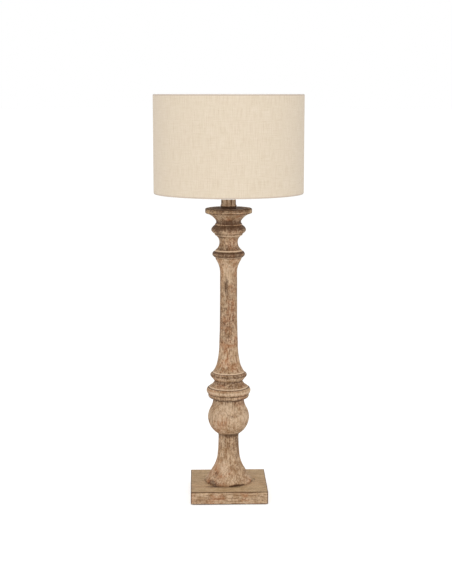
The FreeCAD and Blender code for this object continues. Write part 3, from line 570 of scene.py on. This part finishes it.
pan_radius, pan_foot, pan_top = extent("drip_pan")
pan_corners = [
    (WOOD_BORE + 2, pan_foot), (pan_radius - 1.5, pan_foot, 0, 0.8, 1.4),
    (pan_radius, pan_foot + 1.2, 0.3, 1.4, 0.9), (pan_radius, pan_top - 1.4, 0, 0.1, 0.65),
    (pan_radius - 1.6, pan_top, 0.4, 1.6, 1.6), (WOOD_BORE + 2, pan_top, 0, 0.4, 1.4)]
pan_mesh = turn(pan_corners, WOOD_BORE, plinth_wood, 144, dents=0.7, grain=0.3, bites=1.6, seed=1.9)
# The rim is rubbed bare at three places, this far above its foot
RIM_RISE = 4.5
rim = column_top - foot + RIM_RISE
knock(pan_mesh, [
    (at(-62, 46, rim), (6, 6, 5), 0.3, -0.7, 0.8), (at(-38, 46, rim + 1), (2.5, 2.5, 2), 0.5, -0.9, 1.2),
    (at(68, 46, rim), (7, 7, 5), 0.4, -0.6, 0.8)])
put("turned_drip_pan", pan_mesh, plinth_wood, "stand", "limed_wood", "drip_pan")

# --- Candle sleeve ---
# A short turned tube of wood that stands for the candle: straight, with a lip a little above the pan.

lip_radius, sleeve_foot, sleeve_top = extent("candle_sleeve")
SLEEVE_RADIUS = 14.4
LIP_RISE = 4.0
lip_foot = sleeve_foot + LIP_RISE
# Its foot, below the lip, is darkened with stain and painted shade where it stands in the pan
sleeve_corners = [
    (WOOD_BORE + 2, sleeve_foot), (SLEEVE_RADIUS - 0.4, sleeve_foot, 0, 1.0, 1.3),
    (SLEEVE_RADIUS - 0.4, lip_foot, 0, 1.7, 1.7), (lip_radius - 0.9, lip_foot, 0, 1.5, 1.5),
    (lip_radius, lip_foot + 0.9, 0, 1.2, 0.8), (lip_radius, lip_foot + 2.5, 0, 0.2, -0.2),
    (SLEEVE_RADIUS, lip_foot + 3.4, 0, -0.2, 0.1), (SLEEVE_RADIUS, sleeve_top - 0.8, 0, -0.12, -0.1),
    (SLEEVE_RADIUS - 0.8, sleeve_top, 0, 0.2, 0.2), (WOOD_BORE + 2, sleeve_top, 0, 0.3, 0.3)]
sleeve_mesh = turn(sleeve_corners, WOOD_BORE, column_wood, 96, dents=0.3, grain=0.5, bites=1.2, seed=2.6,
                   step=0.6)
# Streaks up the grain, each with its degrees from the front, its reach, its stain and its wax
STREAKS = [(-70, 4, 0.7, -0.3), (-38, 2.5, -0.3, 0.9), (-14, 2, 0.7, -0.3), (2, 2.2, -0.2, 0.6),
           (20, 2, 0.8, -0.3), (38, 2.5, -0.2, 0.7), (72, 4, 0.6, -0.3)]
STREAK_MIDDLE, STREAK_LENGTH = 16, 30
level = sleeve_foot - foot + STREAK_MIDDLE
knock(sleeve_mesh, [(at(turned, SLEEVE_RADIUS, level), (reach, reach, STREAK_LENGTH), 0.0, stain, wax)
                    for turned, reach, stain, wax in STREAKS])
put("turned_candle_sleeve", sleeve_mesh, column_wood, "stand", "limed_wood", "candle_sleeve")

# --- Cord bush, threaded tube, nuts and washers ---
# A moulded bush lines the cord's way out at the back. A steel tube with a thread at each end runs up
# through the wood, and a nut and washer at each end clamp the stack.


# In degrees: faces that meet at less than the first are one, an edge over the second is an arris to
# break, and an edge over the third is shaded sharp
SAME_FACE, ARRIS_ANGLE, SHARP_ANGLE = 0.2, 32, 28


def dress(label, body, slot_name, material, arris=0.25):
    """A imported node's own shape, merged, with its sharp arrises broken, as a piece in its place."""
    made = bmesh.new()
    made.from_mesh(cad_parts[label].data)
    bmesh.ops.remove_doubles(made, verts=made.verts[:], dist=1e-6)
    bmesh.ops.dissolve_limit(made, angle_limit=math.radians(SAME_FACE), verts=made.verts[:],
                             edges=made.edges[:])
    holder = bring_in("holder", keep(made, label))
    if arris:
        broken = holder.modifiers.new("arris", "BEVEL")
        broken.width = arris * MM
        broken.segments = 2
        broken.limit_method = "ANGLE"
        broken.angle_limit = math.radians(ARRIS_ANGLE)
    mesh = take_mesh(holder)
    mesh.shade_smooth()
    mesh.set_sharp_from_angle(angle=math.radians(SHARP_ANGLE))
    put(label + "_finished", mesh, material, body, slot_name, label)


# Zinc plate is a cool grey with a faint bloom. Brass was satined on the lathe, which leaves marks that
# run round it. The nylon bush came from a mould, matt and dark brown.
ROUND_MARKS = (0.05, 0.05, 1)
METAL = {"Metallic": 1.0}
zinc = mottled("zinc_plated_steel", "#A9ABA6", "#C9CBC8", 0.6, (0.48, 0.3), 0.04, even=METAL)
brass = mottled("satined_brass", "#B08A4C", "#D2AE6C", 0.5, (0.42, 0.26), 0.04, ROUND_MARKS, METAL)
nylon = mottled("moulded_nylon", "#2A1E16", "#35281E", 2.5, (0.42, 0.55), 0.06)
dress("cord_bush", "stand", "cord_bush_plastic", nylon, 0.4)
for label in ("base_washer", "base_nut"):
    dress(label, "stand", "zinc_steel", zinc)
for label in ("top_washer", "top_nut"):
    dress(label, "stand", "brass", brass)


def thread_tree():
    """Geometry nodes for a tube's thread: a ridge that climbs each of its two ends in a helix. Its section
    is a square on its corner, whose outer half is the thread's V."""
    tree, given = new_group("thread", ("Radius", "Float"), ("Pitch", "Float"), ("Length", "Float"),
                            ("Low end", "Float"), ("High end", "Float"))
    turns = add(tree, "ShaderNodeMath", {0: given["Length"], 1: given["Pitch"]}, operation="DIVIDE")
    helix = add(tree, "GeometryNodeCurveSpiral", {
        "Resolution": 28, "Rotations": turns, "Height": given["Length"], "Start Radius": given["Radius"],
        "End Radius": given["Radius"]})
    ridge = add(tree, "ShaderNodeMath", {0: given["Pitch"], 1: 0.34}, operation="MULTIPLY")
    section = add(tree, "GeometryNodeCurvePrimitiveCircle", {"Resolution": 4, "Radius": ridge})
    wound = add(tree, "GeometryNodeCurveToMesh", {
        "Curve": helix, "Profile Curve": section, "Fill Caps": True})
    ends = [given["Geometry"]]
    for level in (given["Low end"], given["High end"]):
        lifted = add(tree, "ShaderNodeCombineXYZ", {2: level})
        ends.append(add(tree, "GeometryNodeTransform", {"Geometry": wound, "Translation": lifted}))
    joined = add(tree, "GeometryNodeJoinGeometry", {0: ends})
    return close_group(tree, joined, given["Material"])


BORE_BREAK = 0.1


def chamfered(bore, radius, low, high, chamfer):
    """The corners of a plain tube or washer, with its outer arrises chamfered."""
    return [(bore + BORE_BREAK, low), (radius - chamfer, low), (radius, low + chamfer),
            (radius, high - chamfer), (radius - chamfer, high), (bore + BORE_BREAK, high)]


tube_low, tube_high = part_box("threaded_tube")
TUBE_BORE = 4.0
THREAD_LENGTH = 18.0 * MM
THREAD_PITCH = 1.0 * MM
THREAD_DEPTH = 0.3
TUBE_CHAMFER = 0.5
root_radius = tube_high.x / MM - THREAD_DEPTH
tube_corners = chamfered(TUBE_BORE, root_radius, tube_low.z / MM, tube_high.z / MM, TUBE_CHAMFER)
tube_mesh = turn(tube_corners, TUBE_BORE, zinc, 40, rubs=0, step=8.0)
tube_mesh = grow(tube_mesh, thread_tree(), {
    "Radius": root_radius * MM, "Pitch": THREAD_PITCH, "Length": THREAD_LENGTH,
    "Low end": tube_low.z + THREAD_PITCH, "High end": tube_high.z - THREAD_PITCH - THREAD_LENGTH,
    "Material": zinc})
put("threaded_steel_tube", tube_mesh, zinc, "stand", "zinc_steel", "threaded_tube")

# --- Lampholder ---
# A bayonet holder: a spun brass cap screwed to the tube, a moulded insulator with two sprung contacts,
# a push-bar switch through its side, and a slotted brass barrel whose ring nut holds the shade.

# Phenolic is black with a low gloss. Urea resin for the bar is brown, glossy and a little streaked.
phenolic = mottled("moulded_phenolic", "#17120F", "#2A211B", 2.5, (0.32, 0.45), 0.05)
urea = mottled("moulded_urea_resin", "#3B2417", "#4A2E1D", 3.0, (0.2, 0.3), 0.05)
dress("holder_cap", "stand", "brass", brass, 0.3)
dress("holder_insulator", "stand", "moulded_insulator", phenolic)
dress("holder_barrel", "stand", "brass", brass, 0.15)
dress("shade_ring_nut", "stand", "brass", brass, 0.25)
dress("switch_bar", "switch", "switch_plastic", urea, 0.5)
dress("contact_plungers", "plungers", "brass", brass, 0.2)

# --- Bulb ---
# A bayonet-cap bulb: opal blown glass cemented in a drawn aluminium cap, with a black glass disc in its
# foot, two blobs of solder for its contacts and two brass pins.

drawn = mottled("drawn_aluminium", "#B9B9B5", "#D6D6D3", 0.5, (0.4, 0.28), 0.03, ROUND_MARKS, METAL)
pressed = mottled("pressed_black_glass", "#0C0C0F", "#1A1A1F", 3.0, (0.1, 0.16), 0.05)
solder = mottled("cooled_solder", "#9A9A94", "#BDBDB8", 0.7, (0.5, 0.3), 0.08, even=METAL)
# Opal glass is milky white under a smooth fired skin, a little uneven from blowing
opal = mottled("opal_blown_glass", "#EFECE6", "#F6F4EF", 3.0, (0.14, 0.2), 0.05,
               even={"IOR": 1.5, "Coat Weight": 0.4})
dress("bulb_cap", "bulb", "bulb_cap_metal", drawn, 0.15)
dress("bulb_base", "bulb", "black_glass", pressed, 0.3)
dress("bulb_contacts", "bulb", "solder", solder, 0.3)
dress("bulb_pins", "bulb", "brass", brass, 0.15)

glass_radius, glass_foot, glass_top = extent("bulb_glass")
glass_middle = glass_top - glass_radius
GLASS_WALL = 0.9
NECK_RADIUS = 14.0
SHOULDER_BOW = 4.3
SEAT_HEIGHT, NECK_HEIGHT = 5, 10
CAP_WALL = 0.6
seat_radius = extent("bulb_cap")[0] - CAP_WALL


def bulb_face(inset):
    """The bulb's face from its seat in the cap, over its shoulder and round its crown to the top."""
    points = [(seat_radius - inset, glass_foot), (seat_radius - inset, glass_foot + SEAT_HEIGHT)]
    neck = glass_foot + NECK_HEIGHT
    for share in np.linspace(0, 1, 22)[:-1]:
        swell = SHOULDER_BOW * 4 * share * (1 - share)
        reach = NECK_RADIUS + (glass_radius - NECK_RADIUS) * share + swell - inset
        points.append((reach, neck + (glass_middle - neck) * share))
    for turned in np.linspace(0, math.pi / 2, 26):
        crown = glass_radius - inset
        points.append((crown * math.cos(turned), glass_middle + crown * math.sin(turned)))
    return points


wall = bulb_face(0) + bulb_face(GLASS_WALL)[::-1] + bulb_face(0)[:1]
outline = bpy.data.meshes.new("bulb_outline")
outline.from_pydata([(radius * MM, 0, height * MM) for radius, height in wall], [], [])
write_finish_and_painted_light(outline, 0, 0, 0)
put("opal_bulb", grow(outline, turning, {"Segments": 96}), opal, "bulb", "opal_glass", "bulb_glass")

# --- Shade cover ---
# One strip of natural linen, laminated to a stiff liner, rolled to a drum and lapped at the back. Its
# edges are turned over the wire rings, which leaves a thin rim above and below.

cover_low, cover_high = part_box("shade_cover")
SHADE_RADIUS = cover_high.x
CLOTH = 0.6 * MM
TURN_IN = 12.0 * MM
LAP = 10.0 * MM
ROLL = 2.5 * MM
HEM = 3.0 * MM
YARN_PITCH = 1.1 * MM
# The bands of a wave texture lie this far apart at a scale of 1
BAND_PITCH = 0.314
YARN_DEPTH = 0.2 * MM


def linen():
    """Natural slub linen in a plain weave: matt, oatmeal, with thick and thin yarns each way and a few
    darker flecks of husk. The yarns are drawn about twice as coarse as real, so that they still show.
    The hems look a little greyer, because the cloth is doubled there and its fold catches less light."""
    material, tree = new_material("woven_natural_linen", {
        "Specular IOR Level": 0.15, "Sheen Weight": 0.4, "Sheen Roughness": 0.5,
        "Sheen Tint": paint("#F3E9E0")})
    flat = add(tree, "ShaderNodeTexCoord", output="UV")
    warp = add(tree, "ShaderNodeMapping", {"Vector": flat, "Scale": (1.0, 1 / 14, 1.0)})
    weft = add(tree, "ShaderNodeMapping", {"Vector": flat, "Scale": (1 / 14, 1.0, 1.0)})
    upright, level, fleck, tone = [add(tree, "ShaderNodeTexNoise", grains(*kind), "Fac") for kind in (
        (warp, 1.9, 3.0), (weft, 1.9, 3.0), (flat, 3.4, 3.0), (flat, 34.0, 2.0))]
    wander = add(tree, "ShaderNodeVectorMath", {0: flat, 1: upright}, operation="ADD")
    yarns = {"Vector": wander, "Scale": BAND_PITCH / YARN_PITCH, "Distortion": 1.5}
    threads = [add(tree, "ShaderNodeTexWave", yarns, "Fac", bands_direction=way) for way in ("X", "Y")]
    weave = add(tree, "ShaderNodeMath", {0: threads[0], 1: threads[1]}, operation="MULTIPLY")
    edge = add(tree, "ShaderNodeAttribute", output="Fac", attribute_name="hem")
    colour = lay(tree, "#E4D5BE", [
        (upright, 0.42, 0.68, 0.55, "#EEE0CD"), (level, 0.46, 0.7, 0.45, "#EFE1D0"),
        (upright, 0.48, 0.3, 0.55, "#D9C6AE"), (level, 0.46, 0.3, 0.4, "#D9C6AC"),
        (fleck, 0.62, 0.72, 0.35, "#C3AC8C"), (tone, 0.35, 0.7, 0.15, "#E3D0BC"),
        (weave, 0.35, 0.0, 0.1, "#BFA682"), (edge, 0.2, 0.9, 0.7, "#C4B1A3")])
    connect(tree, colour, fleck, (0.9, 0.98), mingle(tree, level, (upright, 1.0), (weave, 0.4)), YARN_DEPTH)
    return material


# How many points the cloth has over a roll, up the drum and round it
ROLL_POINTS, RISE_POINTS, AROUND_POINTS = 15, 90, 261


def hem_path(low, high):
    """The cloth's outer face as (inset, height) points: from its lower edge, tucked behind the wire, round
    the wire and up the outside, and in again over the upper wire."""
    half = [(ROLL * 0.9, low + TURN_IN - ROLL), (ROLL * 0.95, low + 2.6 * ROLL),
            (ROLL * 1.4, low + 2.05 * ROLL)]
    for turned in np.linspace(0.25, -math.pi, ROLL_POINTS):
        half.append((ROLL + ROLL * math.cos(turned), low + ROLL + ROLL * math.sin(turned)))
    rise = [(0.0, height) for height in np.linspace(low + ROLL, high - ROLL, RISE_POINTS)[1:-1]]
    return half + rise + [(inset, low + high - height) for inset, height in reversed(half)]


WAVER = 0.05 * MM
LAP_CLEARANCE = 0.05 * MM


def cover_radius(angle):
    """The drum's outside: a hand-rolled round that wavers a little, raised where the cloth laps."""
    waver = WAVER * (math.sin(3 * angle + 0.7) + math.sin(7 * angle))
    lapped = CLOTH + LAP_CLEARANCE if angle > 2 * math.pi - 0.002 else 0.0
    return SHADE_RADIUS - 2 * WAVER + waver + lapped


def cloth_strip(path, around, start):
    """A strip of cloth round the drum, from the start angle through a full turn and over its own edge. Its
    UVs are metres of cloth, and its hem attribute is 1 at the rolled rims."""
    path = np.array(path)
    lengths = np.concatenate([[0], np.cumsum(np.linalg.norm(np.diff(path, axis=0), axis=1))])
    rows = len(path)
    vertices, faces = [], []
    for angle in around:
        outer = cover_radius(angle)
        for inset, height in path:
            reach = outer - inset
            vertices.append((reach * math.cos(angle + start), reach * math.sin(angle + start), height))
    for first in range((len(around) - 1) * rows):
        if first % rows < rows - 1:
            faces.append((first, first + rows, first + rows + 1, first + 1))
    mesh = bpy.data.meshes.new("cloth")
    mesh.from_pydata(vertices, [], faces)
    uv = mesh.uv_layers.new(name="cloth_metres")
    for loop in mesh.loops:
        column, row = divmod(loop.vertex_index, rows)
        uv.data[loop.index].uv = (around[column] * SHADE_RADIUS, lengths[row])
    heights = coordinates(mesh)[:, 2]
    to_rim = np.minimum(heights - cover_low.z, cover_high.z - heights)
    hem = mesh.attributes.new("hem", "FLOAT", "POINT")
    hem.data.foreach_set("value", np.clip(1.5 - to_rim / HEM, 0, 1))
    mesh.shade_smooth()
    return mesh


lap_angle = LAP / SHADE_RADIUS
around = np.linspace(0, 2 * math.pi + lap_angle, AROUND_POINTS)
cover_mesh = cloth_strip(hem_path(cover_low.z, cover_high.z), around, math.pi / 2 - lap_angle / 2)
cover = put("linen_cover", cover_mesh, linen(), "shade", "linen", "shade_cover")
thickness = cover.modifiers.new("cloth_thickness", "SOLIDIFY")
thickness.thickness = CLOTH
thickness.offset = -1

# --- Shade liner and wires ---
# A stiff white laminate keeps the drum round. Two rings of coated wire hold its edges, and three spokes
# welded to the lower ring carry the washer that the holder's ring nut clamps.

# Styrene laminate is smooth, white and matt. The wires' powder coat is glossy with a fine orange peel.
laminate = mottled("laminated_white_styrene", "#EDEAE3", "#F6F4EF", 1.6, (0.5, 0.62), 0.06)
coat = mottled("white_powder_coat", "#DEDCD6", "#E9E8E3", 0.8, (0.3, 0.42), 0.08)
dress("shade_liner", "shade", "shade_liner", laminate, 0)


def wire_tree():
    """Geometry nodes for the shade's wires: a ring, and bent spokes repeated about the axis with a weld
    at each end. The piece that comes in, such as the washer, is kept with them."""
    tree, given = new_group("wires", ("Spokes", "Int"), ("Ring radius", "Float"), ("Ring level", "Float"),
                            ("Wire radius", "Float"), ("Root", "Float"), ("Bend", "Float"),
                            ("Bend radius", "Float"), ("Spoke level", "Float"))
    section, circle = [
        add(tree, "GeometryNodeCurvePrimitiveCircle", {"Resolution": sides, "Radius": radius})
        for sides, radius in ((14, given["Wire radius"]), (160, given["Ring radius"]))]
    hoop = add(tree, "GeometryNodeCurveToMesh", {"Curve": circle, "Profile Curve": section})
    level = add(tree, "ShaderNodeCombineXYZ", {2: given["Ring level"]})
    hoop = add(tree, "GeometryNodeTransform", {"Geometry": hoop, "Translation": level})
    root, bend, tip = [add(tree, "ShaderNodeCombineXYZ", {0: across, 2: up}) for across, up in (
        (given["Root"], given["Spoke level"]), (given["Bend"], given["Spoke level"]),
        (given["Ring radius"], given["Ring level"]))]
    runs = []
    for start, end in ((root, bend), (bend, tip)):
        line = add(tree, "GeometryNodeCurvePrimitiveLine", {"Start": start, "End": end})
        runs.append(add(tree, "GeometryNodeCurveToMesh", {"Curve": line}))
    route = add(tree, "GeometryNodeJoinGeometry", {0: runs})
    route = add(tree, "GeometryNodeMergeByDistance", {"Geometry": route, "Distance": 1e-5})
    route = add(tree, "GeometryNodeMeshToCurve", {0: route})
    bent = add(tree, "GeometryNodeFilletCurve", {
        "Curve": route, "Radius": given["Bend radius"], "Limit Radius": True, "Count": 8}, mode="POLY")
    pieces = [add(tree, "GeometryNodeCurveToMesh", {
        "Curve": bent, "Profile Curve": section, "Fill Caps": True})]
    bead = add(tree, "ShaderNodeMath", {0: given["Wire radius"], 1: 1.35}, operation="MULTIPLY")
    for end in (root, tip):
        weld = add(tree, "GeometryNodeMeshUVSphere", {"Segments": 12, "Rings": 8, "Radius": bead})
        pieces.append(add(tree, "GeometryNodeTransform", {
            "Geometry": weld, "Translation": end, "Scale": (1.4, 1, 0.9)}))
    spoke = add(tree, "GeometryNodeJoinGeometry", {0: pieces})
    seats = add(tree, "GeometryNodePoints", {"Count": given["Spokes"]})
    index = add(tree, "GeometryNodeInputIndex")
    share = add(tree, "ShaderNodeMath", {0: index, 1: given["Spokes"]}, operation="DIVIDE")
    turned = add(tree, "ShaderNodeMath", {0: share, 1: 2 * math.pi}, operation="MULTIPLY")
    way = add(tree, "ShaderNodeCombineXYZ", {2: turned})
    spokes = add(tree, "GeometryNodeInstanceOnPoints", {
        "Points": seats, "Instance": spoke, "Rotation": way})
    whole = add(tree, "GeometryNodeJoinGeometry", {0: [given["Geometry"], hoop, spokes]})
    return close_group(tree, whole, given["Material"])


WIRE_RADIUS = 1.6 * MM
wires = wire_tree()
ring_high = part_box("shade_top_ring")[1]
ring = {"Ring radius": ring_high.x - WIRE_RADIUS, "Wire radius": WIRE_RADIUS, "Material": coat}
top_ring = grow(bpy.data.meshes.new("bare"), wires, {**ring, "Ring level": ring_high.z - WIRE_RADIUS})
put("top_wire_ring", top_ring, coat, "shade", "coated_wire", "shade_top_ring")

FITTER_BORE, FITTER_RADIUS, FITTER_THICKNESS = 14.7, 21.5, 1.8
PRESSED_EDGE = 0.3
NUT_CLEARANCE = 0.1
SPOKE_COUNT = 3
SPOKE_BEND = 96.0 * MM
BEND_RADIUS = 12.0 * MM
washer_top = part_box("shade_ring_nut")[0].z / MM - NUT_CLEARANCE
washer_foot = washer_top - FITTER_THICKNESS
washer_corners = chamfered(FITTER_BORE, FITTER_RADIUS, washer_foot, washer_top, PRESSED_EDGE)
washer = turn(washer_corners, FITTER_BORE, coat, 72, rubs=0, step=1.5)
fitter = grow(washer, wires, {
    **ring, "Spokes": SPOKE_COUNT, "Ring level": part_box("shade_fitter")[0].z + WIRE_RADIUS,
    "Root": FITTER_RADIUS * MM - WIRE_RADIUS, "Bend": SPOKE_BEND, "Bend radius": BEND_RADIUS,
    "Spoke level": (washer_foot + washer_top) / 2 * MM})
put("spoked_fitter", fitter, coat, "shade", "coated_wire", "shade_fitter")

# --- Studio ---
# A plain white paper floor under even light, and the camera. None of it is part of the lamp.

scene = bpy.context.scene
scene.view_settings.view_transform = "Standard"

# What the camera sees of the paper is lifted to white, so that only the lamp's own shadow stays on it
paper, paper_tree = new_material("white_paper", {
    "Base Color": paint("#F4F4F3"), "Roughness": 1.0, "Specular IOR Level": 0.0,
    "Emission Color": (1, 1, 1, 1)})
seen = add(paper_tree, "ShaderNodeLightPath", output="Is Camera Ray")
glow = add(paper_tree, "ShaderNodeMath", {0: seen, 1: 0.5}, operation="MULTIPLY")
paper_tree.links.new(glow, paper_tree.nodes["Principled BSDF"].inputs["Emission Strength"])
FLOOR_HALF = 60.0
made = bmesh.new()
bmesh.ops.create_grid(made, x_segments=1, y_segments=1, size=FLOOR_HALF)
floor = bring_in("floor", keep(made, "floor"))
floor.data.materials.append(paper)

WORLD_LIGHT = 0.6
scene.world = bpy.data.worlds.new("studio")
scene.world.use_nodes = True
room = scene.world.node_tree
paths = add(room, "ShaderNodeLightPath", output=None)
direct = paths["Is Camera Ray"]
for kind in ("Is Glossy Ray", "Is Transmission Ray"):
    direct = add(room, "ShaderNodeMath", {0: direct, 1: paths[kind]}, operation="MAXIMUM")
strength = add(room, "ShaderNodeMapRange", {"Value": direct, "To Min": WORLD_LIGHT, "To Max": 1.0})
background = room.nodes["Background"]
background.inputs["Color"].default_value = (1, 1, 1, 1)
room.links.new(strength, background.inputs["Strength"])

LAMP_MIDDLE = Vector((0, 0, 0.45))
# Each soft box: its place, its size and its power in watts
for name, place, size, power in (
        ("front_light", (-0.5, -2.6, 1.1), (1.8, 1.8), 22.6),
        ("left_light", (-2.3, -0.9, 0.9), (1.4, 1.8), 6.4),
        ("right_light", (2.3, -0.9, 0.9), (1.4, 1.8), 11.4)):
    lamp = bpy.data.lights.new(name, "AREA")
    lamp.shape = "RECTANGLE"
    lamp.size, lamp.size_y = size
    lamp.energy = power
    stand = bring_in(name, lamp)
    stand.location = place
    stand.rotation_euler = (LAMP_MIDDLE - Vector(place)).to_track_quat("-Z", "Y").to_euler()

IMAGE_WIDTH, IMAGE_HEIGHT = 452, 584
SENSOR = 36.0
FOCAL_PIXELS = 1250
CAMERA_BACK = 2.499
CAMERA_RIGHT = -0.0052
CAMERA_HEIGHT = 0.8209
CAMERA_PITCH = 9.05
CAMERA_ORBIT = -1.45
camera_data = bpy.data.cameras.new("camera")
camera_data.sensor_width = SENSOR
camera_data.lens = FOCAL_PIXELS * SENSOR / max(IMAGE_WIDTH, IMAGE_HEIGHT)
camera = bring_in("camera", camera_data)
orbit = Matrix.Rotation(math.radians(CAMERA_ORBIT), 4, "Z")
camera.matrix_world = (orbit @ Matrix.Translation((CAMERA_RIGHT, -CAMERA_BACK, CAMERA_HEIGHT))
                       @ Matrix.Rotation(math.radians(90 - CAMERA_PITCH), 4, "X"))
scene.camera = camera
